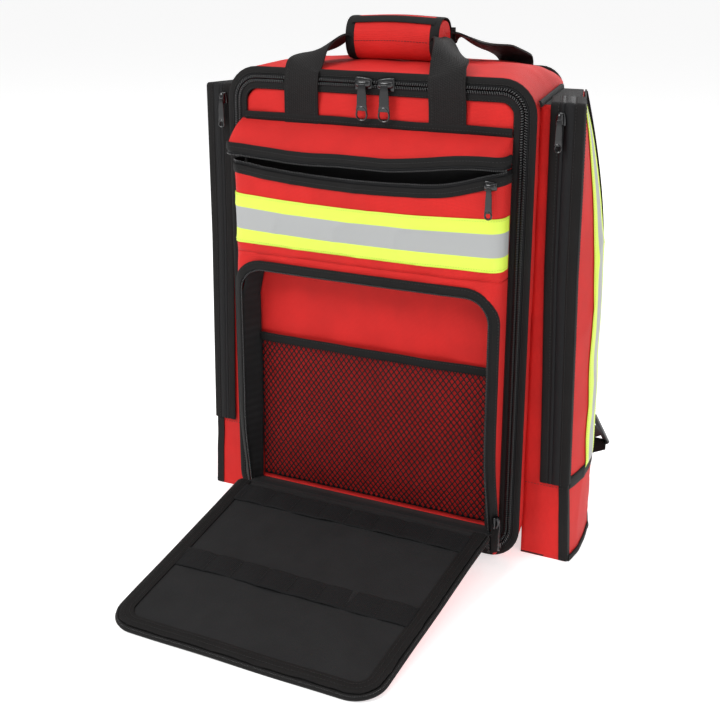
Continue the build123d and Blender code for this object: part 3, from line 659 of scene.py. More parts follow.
def make_main_zip():
    """Both zip halves: the tape, its folded cord edge and the coil's teeth."""
    for name, body, node, side in (
        ("outer", "pack", "main_zip_body_tape", 1),
        ("inner", "front_cover", "main_zip_cover_tape", -1),
    ):
        tape = ring_path(ZIP_INSET - side * 4.6, FRONT - 0.5, False)
        finish(sweep(tape, FRONTWARDS, band(8.6, 0.9, 0.2)), f"main_zip_{name}", "zip_cloth", body, node)
        line = ring_path(ZIP_INSET, FRONT - 1.9, False)
        bm = sweep(ring_path(ZIP_INSET - side * 4.1, FRONT - 1.9, False), FRONTWARDS, tube(0.75))
        finish(bm, f"main_zip_{name}_cord", "zip_cloth", body)
        coil = side * 2.0, 0.7, side * 0.35, 1.0 + side * 0.6
        teeth(f"main_zip_{name}_teeth", body, line, FRONTWARDS, 2.4, (1.8, 4.8, 2.8), *coil)


def make_cover():
    """The red front panel, its binding and the cloth hinge along the bottom."""
    inset = ZIP_INSET + 7.5
    rows = steps(42, inset, HEIGHT - inset)
    columns = 30

    def place(u, v):
        z = rows[round(v)]
        radius = CORNER - inset
        depth = max(0.0, radius - (z - inset), radius - (HEIGHT - inset - z))
        half = HALF - inset - (radius - (radius ** 2 - depth ** 2) ** 0.5)
        x = mix(-half, half, u / columns)
        edge = min(half - abs(x), z - inset, HEIGHT - inset - z)
        loose = ease(edge, 0, 26)
        soft = 1.6 * ripple(x, 0, z, 34, 5.3) + 0.5 * ripple(x, 0, z, 12, 2.2)
        soft += 1.1 * creases(x, 0, z, 44, 7.0) ** 2
        y = FRONT - 0.4 - loose * (1.4 + soft)
        pucker = exp(-edge / 7) * 0.5 * sin(x / 5.2 + 2 * ripple(x, 0, z, 20)) * ease(edge, 0, 3)
        return Vector((x, y - pucker, z))

    bm = lay_weave(cloth(columns, len(rows) - 1, 1, place))
    finish(bm, "cover_panel", "red_cloth", "front_cover", "front_cover", thick=2.8, levels=1)
    inner = ring_path(ZIP_INSET + 7.2, FRONT - 0.6)
    bound("cover_binding", "front_cover", inner, FRONTWARDS, band(6.6, 1.5, 0.7), closed=True)
    stitched("cover_binding_stitches", "front_cover", [(inner, FRONTWARDS, -1.9, 2.2)])

    wide = 2 * (HALF - CORNER)

    def fold(u, v):
        return Vector((u - wide / 2, FRONT - 1.4 - 0.7 * sin(pi * v / 12), 6 + v))

    hinge = finish(cloth(wide, 12, 3, fold), "cover_hinge_cloth", "binding", None, thick=0.8)
    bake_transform(hinge)


make_main_body()
make_main_zip()
make_cover()


# ---------------------------------------------------------------- front pockets
SPREAD = 5.0                                         # how far the left side of the pockets splays
RIM_R = 11.0                                         # rounded side edges of the pockets' face
WALL_RUN = BULGE - RIM_R
ARC_RUN = RIM_R * pi / 2
FACE_RUN = 2 * (POCKET - RIM_R) + SPREAD
GIRTH = 2 * WALL_RUN + 2 * ARC_RUN + FACE_RUN        # round the pocket, from cover to cover


def pocket_rim(u):
    """(x, how far out of the cover) at a length u round a pocket from its left seam."""
    side = 1 if u > GIRTH / 2 else -1
    run = GIRTH - u if side > 0 else u
    reach = POCKET if side > 0 else POCKET + SPREAD
    if run < WALL_RUN:
        return side * mix(POCKET, reach, run / WALL_RUN), run
    run -= WALL_RUN
    if run < ARC_RUN:
        angle = run / RIM_R
        return side * (reach - RIM_R + RIM_R * cos(angle)), WALL_RUN + RIM_R * sin(angle)
    return side * (reach - RIM_R - (run - ARC_RUN)), BULGE


def pocket_depth(z):
    """How much of its full depth the lower pocket has at a height."""
    return mix(0.42, 1.0, ease(z, 0, 120))


def pocket_point(u, z, lift=0.0):
    """A point on the front pockets' red cloth, lift outside it."""
    x, out = pocket_rim(u)
    across = max(0.0, 1 - (x / POCKET) ** 2)
    sag = 5.0 * across * ease(z, SPLIT - 20, MOUTH_Z - 12)
    pillow = 2.6 * across * ease(out, BULGE * 0.5, BULGE)
    folds = 1.5 * ripple(x, 0, z * 1.6, 52, 4.4) + 1.4 * creases(x, 0, z * 1.8, 70, 9.1) ** 3
    crease = -2.2 * exp(-((z - SPLIT + 4) / 7) ** 2) * (0.6 + 0.5 * ripple(x, 0, 0, 40, 2.0))
    share = out / BULGE
    y = FRONT - out * pocket_depth(z) - share * (pillow + folds + crease)
    normal = outward(Vector((x, 0, 0))) if out > WALL_RUN else Vector((x / abs(x), 0, 0))
    return Vector((x, y, z - sag)) + normal * lift


def mouth_low(x):
    """Height of the mouth's lower edge."""
    return MOUTH_Z - 1.5 - 9 * max(0.0, 1 - (x / POCKET) ** 2) + 11 * ease(x, 75, 160)


def mouth_high(x):
    """Height of the mouth's upper edge: it gapes in the middle and turns up at the left."""
    gape = max(0.0, 1 - (x / (POCKET - 4)) ** 2)
    ends = 7 * exp(-((x + POCKET) / 40) ** 2) + 12 * ease(x, 20, 135)
    return MOUTH_Z + 6.0 + 3.0 * gape + ends + 1.2 * ripple(x, 0, 0, 38, 6.0)


def arched(x):
    """1 at the middle of the pockets, 0 at their sides."""
    return max(0.0, 1 - (x / POCKET) ** 2)


def hood_point(u, share):
    """A point of the hood over the mouth; share runs from its seam down to the mouth."""
    x, out = pocket_rim(u)
    z = mix(HOOD_TOP + 3, mouth_high(x) + BINDING - 2, share) + 1.0 * sin(pi * share) * arched(x)
    depth = mix(0.05, 1.10, share ** 0.85)
    left = exp(-((x + POCKET + SPREAD) / 26) ** 2)
    folds = 1.8 * ripple(x, 0, z * 0.7, 44, 7.7) + 1.8 * creases(x, 0, z * 0.8, 60, 1.1) ** 3
    y = FRONT - out * depth - (folds * sin(pi * share) + 3 * left * share) * out / BULGE
    return Vector((x - 5 * left * share, y, z + 3 * left * sin(pi * share)))


def mouth_edge(u, high):
    """The free edge of the mouth, upper or lower."""
    x = pocket_rim(u)[0]
    if high:
        return Vector((hood_point(u, 1.0).x, hood_point(u, 1.0).y - 0.5, mouth_high(x)))
    point = pocket_point(u, mouth_low(x) + 5.0 * arched(x))
    return Vector((point.x, point.y - 0.3, mouth_low(x)))


def make_mouth():
    """The bound edges of the upper pocket's mouth, with half of its zip on each."""
    girth = steps(110, 6, GIRTH - 6)
    for name, high, side in (("upper", True, 1), ("lower", False, -1)):
        edge = [mouth_edge(u, high) for u in girth]
        middle = [p + Vector((0, 0, side * (BINDING / 2 - 0.4))) for p in edge]
        outwards = [outward(p) for p in middle]
        bound(f"mouth_binding_{name}", "front_cover", middle, outwards, band(BINDING, 1.2, 0.5))
        zip_line = [p + Vector((0, 1.0, -side * 2.0)) for p in edge]
        nodes = ["upper_zip"] if high else []
        tape = sweep(zip_line, outwards, band(4.5, 0.7))
        finish(tape, f"mouth_zip_{name}", "zip_cloth", "front_cover", *nodes)
        row = zip_line[4:-4], outwards[4:-4]
        teeth(f"mouth_teeth_{name}", "front_cover", *row, COIL_PITCH, COIL_TOOTH, side * 1.9, 0.9)
        stitched(f"mouth_stitches_{name}", "front_cover", [(middle, outwards, 0.0, 1.75)])


def make_upper_pocket():
    """The front, the hood, the bound mouth with its zip, and the dark lining inside."""
    def front(u, v):
        x = pocket_rim(u)[0]
        return pocket_point(u, mix(SPLIT - 0.5, mouth_low(x) - 3 + 5.0 * arched(x), v / 80))

    def lining(u, v):
        top = mouth_low(pocket_rim(u + 4)[0]) - 1
        return pocket_point(u + 4, mix(SPLIT + 2, top, v / 78), -2.2)

    def rear(u, v):
        return Vector((u - POCKET + 3, FRONT - 7.5, SPLIT + 4 + v))

    finish(cloth(GIRTH, 80, 4, front), "upper_pocket_front", "red_cloth", "front_cover", thick=1.4)
    hood = cloth(GIRTH, 60, 4, lambda u, v: hood_point(u, v / 60))
    finish(hood, "upper_pocket_hood", "red_cloth", "front_cover", thick=1.4, flip=True)
    make_mouth()
    seam = steps(60, -POCKET + 0.5, POCKET - 0.5)
    top = [Vector((x, FRONT - 3.0, HOOD_TOP + 6.0 + 0.5 * ripple(x, 0, 0, 30))) for x in seam]
    bound("hood_binding", "front_cover", top, FRONTWARDS, band(8.6, 1.3, 0.6), "upper_pocket")
    stitched("hood_binding_stitches", "front_cover", [(top, FRONTWARDS, 0.8, 1.95)])
    back = cloth(2 * POCKET - 6, 120, 6, rear)
    finish(back, "upper_pocket_lining", "black_cloth", "front_cover", thick=0.8)
    inner = cloth(GIRTH - 8, 78, 6, lining)
    finish(inner, "upper_pocket_inside", "black_cloth", "front_cover", thick=0.6)


def outward(point):
    """The direction that a front pocket's cloth faces, seen from above."""
    over = abs(point.x) - (POCKET - RIM_R) - (SPREAD if point.x < 0 else 0)
    if over <= 0:
        return Vector((0, -1, 0))
    angle = min(1.0, over / RIM_R) * pi / 2
    return Vector((sin(angle) * (1 if point.x > 0 else -1), -cos(angle), 0))


def make_front_tape():
    """The reflective tape, with its two rows of stitches."""
    wide, high = GIRTH - 12, TAPE_HIGH.z - TAPE_LOW.z

    def place(u, v, lift=0.9):
        return pocket_point(u + 6, TAPE_LOW.z + v, lift)

    tape = cloth(wide, high, 3, place)
    finish(tape, "front_tape", "reflective", "front_cover", "front_reflective_tape", thick=0.5)
    runs = []
    for v in (TAPE_SEAM, high - TAPE_SEAM):
        path = [place(u, v) for u in steps(100, 1, wide - 1)]
        runs.append((path, [outward(p) for p in path], 0.0, 0.1))
    stitched("front_tape_stitches", "front_cover", runs, "yellow_thread", 2.6, 1.9)


def spread(x):
    """How far the left side of the pockets is pulled out, at an x of the straight pocket."""
    return SPREAD * ease(-x, 60, POCKET)


def opening(s, grow=0.0):
    """A point on the lower pocket's opening: s from 0 at its lower left, over the arch, to 1."""
    half, top, low = OPENING_HALF + grow, OPENING_TOP + grow, HINGE_Z - 26
    radius = OPENING_R + grow
    side, arc, flat = top - radius - low, radius * pi / 2, 2 * (half - radius)
    total = 2 * side + 2 * arc + flat
    run = min(s, 1 - s) * total
    sign = -1 if s < 0.5 else 1
    if run < side:
        z = low + run
        return sign * (half + 2.5 * (1 - ease(z, 0, 150))) - spread(sign * half), z
    run -= side
    if run < arc:
        angle = run / radius
        x = sign * (half - radius + radius * cos(angle))
        return x - spread(x), top - radius + radius * sin(angle)
    x = sign * (half - radius - (run - arc))
    return x - spread(x), top


def opening_path(grow, lift, count=150):
    """The opening's edge on the pocket's cloth."""
    path = []
    for s in steps(count):
        x, z = opening(s, grow)
        over = abs(x) - (POCKET - RIM_R) - (SPREAD if x < 0 else 0)
        out = BULGE if over <= 0 else WALL_RUN + RIM_R * max(0.05, 1 - min(1, over / RIM_R) ** 2) ** 0.5
        arch = max(0.0, 1 - (x / POCKET) ** 2)
        y = FRONT - out * pocket_depth(z) - 2.6 * arch * (out / BULGE)
        path.append(Vector((x, y, z)) + outward(Vector((x, 0, 0))) * lift)
    return path


def make_lower_pocket():
    """The frame round the opening, its binding and teeth, and the black walls behind it."""
    low = 5.0

    def place(u, v):
        return pocket_point(u, mix(low, SPLIT, v / (SPLIT - low)))

    def in_opening(point):
        x = abs(point.x + (spread(point.x) if point.x < 0 else 0))
        arch = x < OPENING_HALF - OPENING_R or point.z < OPENING_TOP - OPENING_R
        corner = hypot(x - OPENING_HALF + OPENING_R, point.z - OPENING_TOP + OPENING_R) < OPENING_R + 2
        flare = 2.5 * (1 - ease(point.z, 0, 150))
        inside = x < OPENING_HALF + flare + 2 and point.z < OPENING_TOP + 2
        return point.y < FRONT - 4 and inside and (arch or corner)

    bm = drop_faces(cloth(GIRTH, SPLIT - low, 3.2, place), in_opening)
    finish(bm, "lower_pocket_frame", "red_cloth", "front_cover", "lower_pocket", thick=1.4)

    edge = opening_path(-0.5, 0.2)
    outwards = [outward(p) for p in edge]
    middle = opening_path(BINDING / 2 - 1, 0.6)
    bound("opening_binding", "front_cover", middle, outwards, band(BINDING, 1.3, 0.6))
    finish(sweep(edge, outwards, band(5, 0.8)), "opening_zip", "zip_cloth", "front_cover")
    teeth("opening_teeth", "front_cover", edge, outwards, COIL_PITCH, COIL_TOOTH, 1.7, 0.8)
    stitched("opening_stitches", "front_cover", [(middle, outwards, -2.4, 1.9)])

    count = 120
    def wall(u, v):
        x, z = opening(u / count, 0)
        edge_y = FRONT - BULGE * pocket_depth(z) + 1.0
        share = v / 26
        inward = 9 * share * (1 if x > 0 else -1) * ease(abs(x), POCKET - 60, POCKET - 20)
        drop = 5 * share * ease(z, OPENING_TOP - 20, OPENING_TOP)
        wave = 1.2 * ripple(x, share * 20, z, 28, 3.3) * sin(pi * share)
        return Vector((x - inward - wave, mix(edge_y, FRONT - 3.2, share), z + drop))

    bm = cloth(count, 26, 4, wall)
    finish(bm, "lower_pocket_walls", "black_cloth", "front_cover", thick=0.8)

    def base(u, v):
        return Vector((u - POCKET + 3, mix(FRONT - 3, FACE + 2, v), HINGE_Z - 3))

    bottom = cloth(2 * POCKET - 6, 1.0, 6, base)
    finish(bottom, "lower_pocket_floor", "black_cloth", "front_cover", thick=0.8)


def net(wide, high, cell, strand, place):
    """An open knitted mesh: a diamond grid with a rounded hole in every cell."""
    bm = bmesh.new()
    count = ceil((wide + high * 1.4) / cell / 1.2)
    bmesh.ops.create_grid(bm, x_segments=count, y_segments=count, size=count * cell / 2)
    turn = Matrix.Diagonal((1.0, 1.32, 1.0)).to_4x4() @ Matrix.Rotation(pi / 4, 4, "Z")
    bmesh.ops.transform(bm, matrix=turn, verts=bm.verts)
    for x, y in ((1, 0), (-1, 0), (0, 1), (0, -1)):
        whole = bm.verts[:] + bm.edges[:] + bm.faces[:]
        edge = (x * wide / 2, y * high / 2, 0)
        bmesh.ops.bisect_plane(bm, geom=whole, plane_co=edge, plane_no=(x, y, 0), clear_outer=True)
    full = [face for face in bm.faces if face.calc_area() > 0.9 * 1.32 * cell * cell]
    bmesh.ops.inset_individual(bm, faces=full, thickness=strand, use_even_offset=True)
    bmesh.ops.delete(bm, geom=full, context="FACES_ONLY")
    weave = bm.loops.layers.uv.new("cloth")
    for face in bm.faces:
        for loop in face.loops:
            loop[weave].uv = (loop.vert.co.x * MM, loop.vert.co.y * MM)
    for vert in bm.verts:
        vert.co = place(vert.co.x + wide / 2, vert.co.y + high / 2)
    return bm


def make_mesh_pocket():
    """The net over the lower pocket's back wall, with its bound top."""
    wide, high = NET_HIGH.x - NET_LOW.x, NET_HIGH.z - NET_LOW.z

    def place(u, v):
        x, z = u - wide / 2, NET_LOW.z + v
        bulge = sin(pi * u / wide) ** 0.5 * ease(v, 0, 30) if 0 < u < wide else 0
        return Vector((x, FRONT - 4.0 - 3.6 * bulge - 1.6 * ripple(x, 0, z, 36, 2.5), z))

    mesh = net(wide, high, 4.3, 0.62, place)
    flat = sum(face.calc_area() for face in mesh.faces) * MM * MM
    piece = finish(mesh, "mesh_pocket_net", "net", "front_cover", "mesh_pocket", thick=0.5)
    top = [place(u, high - 3.5) + Vector((0, -0.6, 0)) for u in steps(60, 0, wide)]
    bound("mesh_pocket_binding", "front_cover", top, FRONTWARDS, band(9.5, 1.0, 0.4))
    stitched("mesh_pocket_stitches", "front_cover", [(top, FRONTWARDS, -3.0, 1.3)])


make_upper_pocket()
make_front_tape()
make_lower_pocket()
make_mesh_pocket()


# ---------------------------------------------------------------- lid
LID_LENGTH = 251.0
LID_LEAN = asin(HINGE_Z / LID_LENGTH)   # the open lid's free edge rests on the floor
LID_DOWN = Vector((0, -cos(LID_LEAN), -sin(LID_LEAN)))
LID_UP = Vector((0, -sin(LID_LEAN), cos(LID_LEAN)))
LID_HALF, LID_TIP_HALF = LID_HIGH.x, LID_HIGH.x - 9
LID_R = 28.0


def lid_half(b):
    """Half the lid's width at a distance b from its hinge, rounded at its free corners."""
    half = mix(LID_HALF, LID_TIP_HALF, b / LID_LENGTH)
    past = max(0.0, b - (LID_LENGTH - LID_R))
    return half - (LID_R - (LID_R ** 2 - min(past, LID_R) ** 2) ** 0.5)


def lid_point(a, b, c):
    """A point of the open lid: across, from the hinge, and above the outer face."""
    lift = 1.2 * ripple(a, b, 0, 80, 5.0) * ease(b, 10, 60)
    return Vector((a, LID_AXIS.y, LID_AXIS.z)) + LID_DOWN * b + LID_UP * (c + lift)


def lid_edge(inset, c, count=40):
    """The lid's outline from its hinge's right end round to its left, set in."""
    path = [(lid_half(b) - inset, b) for b in steps(count, 1, LID_LENGTH - LID_R)]
    middle, radius = lid_half(LID_LENGTH - LID_R) - LID_R, LID_R - inset
    for angle in steps(12, 0, pi / 2)[1:]:
        path.append((middle + radius * cos(angle), LID_LENGTH - LID_R + radius * sin(angle)))
    path += [(a, path[-1][1]) for a in steps(30, middle, -middle)[1:-1]]
    path += [(-a, b) for a, b in reversed(path[: count + 13])]
    return [lid_point(a, b, c) for a, b in path]


def make_lid():
    """The open lid: red outside, black lining, puckered border and teeth."""
    def face(c, crown, inset, seed):
        def place(u, v):
            b = mix(1, LID_LENGTH - inset, v / 56)
            half = max(4.0, lid_half(min(b + inset * 0.3, LID_LENGTH - 0.5)) - inset)
            a = mix(-half, half, u / 64)
            edge = min(half - abs(a), LID_LENGTH - b)
            soft = ease(edge, 0, 30)
            waves = 1.3 * ripple(a, b, 0, 48, seed) + 0.5 * ripple(a, b, 0, 17, seed + 3)
            return lid_point(a, b, c + crown * soft * (1 + waves))
        return lay_weave(cloth(64, 56, 1, place))

    lining = face(5.0, 1.1, 3, 2.0)
    piece = finish(lining, "lid_lining", "black_cloth", "pocket_lid", "pocket_lid", thick=2.0, flip=True)
    shell = face(0.6, 0.0, 0.5, 6.0)
    finish(shell, "lid_shell", "red_cloth", "pocket_lid", thick=1.6)

    rim = lid_edge(0.4, 2.8)
    bound("lid_edge_binding", "pocket_lid", rim, LID_UP, tube(3.0, 0.95))
    border = lid_edge(8.5, 6.0)

    def puckered(share):
        wave = 1.3 * ripple(share * 900, 0, 0, 22, 4.0) + 0.5 * ripple(share * 900, 0, 0, 9, 2.0)
        half = 6.8
        over = [(-half + wave, 1.0), (-half * 0.6 + wave * 0.6, 1.8 + 0.6 * wave), (0, 1.5)]
        over += [(half * 0.6, 1.3), (half, 0.6)]
        return over + [(half, 0.0), (0, 0.2), (-half + wave, 0.0)]

    bound("lid_border", "pocket_lid", border, LID_UP, puckered, "lid_zip")
    teeth("lid_teeth", "pocket_lid", lid_edge(-0.6, 4.8), LID_UP, 1.5, (1.05, 2.0, 1.2))
    stitched("lid_border_stitches", "pocket_lid", [(border, LID_UP, 3.2, 1.5), (border, LID_UP, -2.0, 1.9)])


def make_lid_elastic():
    """Two rows of elastic tacked down in loops across the lining."""
    wide, tack = 28.0, 31
    for number, low in enumerate((9.0, 128.0)):
        half = lid_half(low) - 14

        def place(u, v):
            a = u - half
            wave = 3.0 * ripple(a, low, 0, 70, 8.0) * (v / wide)
            puff = 1.3 * abs(sin(pi * a / tack)) ** 0.6
            return lid_point(a, low + v + wave, 6.6 + puff + 0.9 * ripple(a, v, low, 40, 1.0))

        name = f"lid_elastic_{number + 1}"
        nodes = [] if number else ["lid_elastic_bands"]
        row = cloth(2 * half, wide, 3, place)
        finish(row, name, "elastic", "pocket_lid", *nodes, thick=1.0, flip=True)
        tacks = [tack * k for k in range(-4, 5) if abs(tack * k) < half - 5]
        runs = [([place(a + half, v) for v in steps(8, 1, wide - 1)], LID_UP, 0.0, 1.2) for a in tacks]
        stitched(f"{name}_tacks", "pocket_lid", runs, pitch=3.0, length=2.0)


def make_lid_hinge():
    """The cloth between the lid and the foot of the lower pocket."""
    wide = 2 * LID_HALF - 8
    start = Vector((0, FRONT - BULGE * pocket_depth(HINGE_Z) + 1, HINGE_Z - 4))
    end = lid_point(0, 6, 3.0)

    def place(u, v):
        share = v / 16
        point = start.lerp(end, share)
        return Vector((u - wide / 2, point.y, point.z + 1.2 * sin(pi * share)))

    strip = cloth(wide, 16, 3, place)
    strip = finish(strip, "lid_hinge_cloth", "black_cloth", None, thick=1.0, flip=True)
    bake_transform(strip)


make_lid()
make_lid_elastic()
make_lid_hinge()


# ---------------------------------------------------------------- side pockets
SIDE_FACE = 52.0                        # cloth in a side pocket's front or rear face
SIDE_DEPTH = SIDE_Y1 - SIDE_Y0
BAND_Y = SIDE_Y0 - 1.0                  # where the zip band lies on the front face


def side_out(y, z):
    """How far a side pocket's red cloth stands outside the main body at y and z."""
    levels = ((0, 50, 62, 51), (85, 46, 62, 53), (300, 42, 60, 53), (SIDE_TOP, 42, 34, 26))
    k = 0 if z < 85 else 1 if z < 300 else 2
    share = (z - levels[k][0]) / (levels[k + 1][0] - levels[k][0])
    share = share if k < 2 else share ** 1.6
    front, middle, rear = (mix(a, b, share) for a, b in zip(levels[k][1:], levels[k + 1][1:]))
    t = (y - SIDE_Y0) / (SIDE_Y1 - SIDE_Y0)
    return front * (1 - t) * (1 - 2 * t) + middle * 4 * t * (1 - t) + rear * t * (2 * t - 1)


def side_skin(side, y, z, lift=0.0):
    """A point on the outside of a side pocket."""
    folds = 1.8 * ripple(side * 3, y, z, 60, 1.3) + 1.5 * creases(side * 3, y, z * 0.6, 66, 6.6) ** 3
    middle = sin(pi * min(1.0, max(0.0, (y - SIDE_Y0) / (SIDE_Y1 - SIDE_Y0))))
    return Vector((side * (half_width(y) + side_out(y, z) + lift + folds * middle - 1.0), y, z))


def side_loop(side, u, z):
    """Round a side pocket's shell from the front seam, over the outside, to the rear seam."""
    behind = 0.0 if z < DOOR_Z else 3.4
    y = min(max(SIDE_Y0, SIDE_Y0 + u - SIDE_FACE), SIDE_Y1)
    x = abs(side_skin(side, y, z).x) - behind
    if u < SIDE_FACE:
        x = mix(half_width(y), x, u / SIDE_FACE)
    elif u >= SIDE_FACE + SIDE_DEPTH:
        x = mix(x, half_width(y), (u - SIDE_FACE - SIDE_DEPTH) / SIDE_FACE)
    bow = 1.2 * ripple(x, y, z, 26, 4.0) * sin(pi * min(1, z / DOOR_Z)) if z < DOOR_Z else 0
    return Vector((side * x, y - bow if y < 0 else y + bow, z))


def make_side_shell(side, word):
    """The fixed cloth of a side pocket, open where the door is, with its top and bottom."""
    flip = side < 0

    def doorway(point):
        return SIDE_Y0 + 9 < point.y < SIDE_Y1 - 9 and DOOR_Z < point.z < SIDE_TOP - 10

    shell = cloth(2 * SIDE_FACE + SIDE_DEPTH, SIDE_TOP, 5, lambda u, v: side_loop(side, u, v))
    shell = lay_weave(drop_faces(shell, doorway))
    finish(shell, f"side_shell_{word}", "red_cloth", "pack", f"side_pocket_{word}", thick=2.2, flip=flip)
    for name, z, dome, under in (("top", SIDE_TOP, 2.0, False), ("bottom", 0.4, 0.0, True)):
        def place(u, v):
            y = SIDE_Y0 + SIDE_DEPTH * v / 28
            x = mix(half_width(y), abs(side_skin(side, y, z).x) - 0.6, u / 10)
            return Vector((side * x, y, z + dome * sin(pi * u / 10) * sin(pi * v / 28)))

        panel = lay_weave(cloth(10, 28, 1, place))
        finish(panel, f"side_{name}_{word}", "black_cloth", "pack", thick=1.6, flip=flip != under)


def band_path(side, inwards, lift, end=-26.0):
    """A line up a side pocket's front and back over its top, inwards of its outer corner."""
    points = [(BAND_Y - lift, z) for z in steps(40, DOOR_Z - 1, SIDE_TOP - 1)]
    for angle in steps(6, 0, pi / 2)[1:]:
        points.append((BAND_Y + 2 - (2 + lift) * cos(angle), SIDE_TOP - 1 + (2 + lift) * sin(angle)))
    points += [(y, SIDE_TOP + 1 + lift) for y in steps(16, SIDE_Y0 + 4, end)]
    path = []
    for y, z in points:
        at, height = max(y, SIDE_Y0), min(z, SIDE_TOP)
        narrow = mix(0.88, 1.0, ease(height, DOOR_Z, SIDE_TOP)) * (1.0 if side > 0 else 0.88)
        path.append(Vector((side * (half_width(at) + side_out(at, height) - inwards * narrow), y, z)))
    return path


def band_ups(path):
    """The way the zip band faces: forwards on the front, up on the top."""
    ups = []
    for p in path:
        if p.z < SIDE_TOP - 1:
            ups.append(FRONTWARDS)
        elif p.y > SIDE_Y0 + 1.5:
            ups.append(UPWARDS)
        else:
            ups.append(Vector((0, p.y - BAND_Y - 2, p.z - SIDE_TOP + 1)).normalized())
    return ups


def make_side_zip(side, word):
    """The black zip band up the front face and back over the top."""
    for name, inwards, wide, material in (
        ("inner_binding", 27.0, 9.5, "binding"),
        ("inner_tape", 20.6, 5.0, "zip_cloth"),
        ("outer_tape", 13.5, 11.0, "zip_cloth"),
        ("outer_binding", 4.6, 9.5, "binding"),
    ):
        path = band_path(side, inwards, 0.0 if "tape" in name else 0.6)
        crown = 1.4 if "tape" in name else 0.5
        nodes = [f"side_zip_{word}"] if name == "inner_tape" else []
        strip = sweep(path, band_ups(path), band(wide, 1.0, crown))
        finish(strip, f"side_{name}_{word}", material, "pack", *nodes)
    slit = band_path(side, 20.0, 0.9)
    teeth(f"side_teeth_{word}", "pack", slit, band_ups(slit), COIL_PITCH, (1.3, 3.0, 1.6))
    runs = []
    for inwards in (24.0, 7.5):
        path = band_path(side, inwards, 1.9)
        runs.append((path, band_ups(path), 0.0, 0.2))
    reach = abs(side_skin(side, SIDE_Y0, DOOR_Z).x) - 3
    seam = [Vector((side * x, BAND_Y - 0.6, DOOR_Z - 4)) for x in steps(10, half_width(SIDE_Y0) + 2, reach)]
    runs.append((seam, FRONTWARDS, 0.0, 0.4))
    stitched(f"side_band_stitches_{word}", "pack", runs)


def make_side_door(side, word):
    """The door on the outside of a side pocket, bound on three edges, with its reflective tape."""
    door, outwards = f"side_door_{word}", Vector((side, 0, 0))
    panel = cloth(
        SIDE_DEPTH, SIDE_TOP - DOOR_Z - 1, 5,
        lambda u, v: side_skin(side, SIDE_Y0 + u, DOOR_Z + 0.5 + v, -0.4),
    )
    finish(panel, f"side_panel_{word}", "red_cloth", door, door, thick=2.4, flip=side < 0)
    edge = [side_skin(side, SIDE_Y0 + 2.5, z) for z in steps(60, DOOR_Z + 1, SIDE_TOP - 2)]
    edge += [side_skin(side, y, SIDE_TOP - 3) for y in steps(20, SIDE_Y0 + 8, SIDE_Y1 - 3)]
    edge += [side_skin(side, SIDE_Y1 - 2.5, z) for z in steps(60, SIDE_TOP - 8, DOOR_Z + 1)]
    bound(f"side_panel_binding_{word}", door, edge, outwards, band(8, 1.4, 0.7))
    stitched(f"side_panel_stitches_{word}", door, [(edge, outwards, side * 2.4, 2.0)])

    wide, long = SIDE_TAPE_HIGH.y - SIDE_TAPE_LOW.y, SIDE_TOP - DOOR_Z - 6

    def place(u, v):
        return side_skin(side, SIDE_TAPE_LOW.y + v, DOOR_Z + 3 + u, 0.9)

    tape = cloth(long, wide, 4, place)
    node = f"side_reflective_tape_{word}"
    finish(tape, f"side_tape_{word}", "reflective", door, node, thick=0.5, flip=side > 0)
    rows = [[place(u, v) for u in steps(70, 1, long - 1)] for v in (TAPE_SEAM, wide - TAPE_SEAM)]
    runs = [(row, outwards, 0.0, 0.1) for row in rows]
    stitched(f"side_tape_stitches_{word}", door, runs, "yellow_thread", 2.6, 1.9)


def make_side_bindings(side, word):
    """Bindings on the front outer corner, the base, the rear corner and the seam to the body."""
    corner = [side_loop(side, SIDE_FACE, z) for z in steps(30, 1, DOOR_Z - 1)]
    base = [side_skin(side, y, 2.5, 0.4) for y in steps(30, SIDE_Y0 + 2, SIDE_Y1 - 2)]
    rear = [side_skin(side, SIDE_Y1 - 1.0, z, 0.5) for z in steps(40, 2, SIDE_TOP - 2)]
    along_top = steps(20, FRONT + 3, SIDE_Y1)
    valley = [Vector((side * (half_width(y) + 1.5), y, SIDE_TOP + 2)) for y in along_top]
    seam_x = side * (half_width(SIDE_Y1) + 1.5)
    valley += [Vector((seam_x, SIDE_Y1 + 1.5, z)) for z in steps(30, SIDE_TOP - 6, 4)]
    front_slant, rear_slant = Vector((side, -1, 0)).normalized(), Vector((side, 1, 0)).normalized()
    for name, path, up, section in (
        ("side_corner_binding", corner, front_slant, folded(8, 1.3)),
        ("side_base_binding", base, Vector((side, 0, 0)), band(7, 1.2, 0.6)),
        ("side_rear_binding", rear, rear_slant, band(8, 1.2, 0.6)),
        ("side_seam", valley, Vector((side, 0, 0.4)), band(6, 1.4, 0.8)),
    ):
        bound(f"{name}_{word}", "pack", path, up, section)


def make_side_hinge(side, word):
    """The cloth hinge along a side door's lower edge."""
    strip = cloth(
        SIDE_DEPTH - 6, 13, 4,
        lambda u, v: side_skin(side, SIDE_Y0 + 3 + u, DOOR_Z - 6 + v, 0.7),
    )
    strip = finish(strip, f"side_hinge_cloth_{word}", "binding", None, thick=0.8, flip=side < 0)
    x = side_skin(side, 0, DOOR_Z).x * MM
    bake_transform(strip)


for side, word in SIDES:
    for make in (make_side_shell, make_side_zip, make_side_door, make_side_bindings, make_side_hinge):
        make(side, word)


# ---------------------------------------------------------------- handle
LEG_X = LOOP_HIGH.x - WEB / 2           # where the webbing runs up the front and the back
GRIP_END = GRIP_HIGH.x - 6
GRIP_Y, GRIP_Z = (GRIP_LOW.y + GRIP_HIGH.y) / 2, (GRIP_LOW.z + GRIP_HIGH.z) / 2
GRIP_DEEP, GRIP_TALL = 17.5, 21.5       # half the grip's thickness, front to back and up


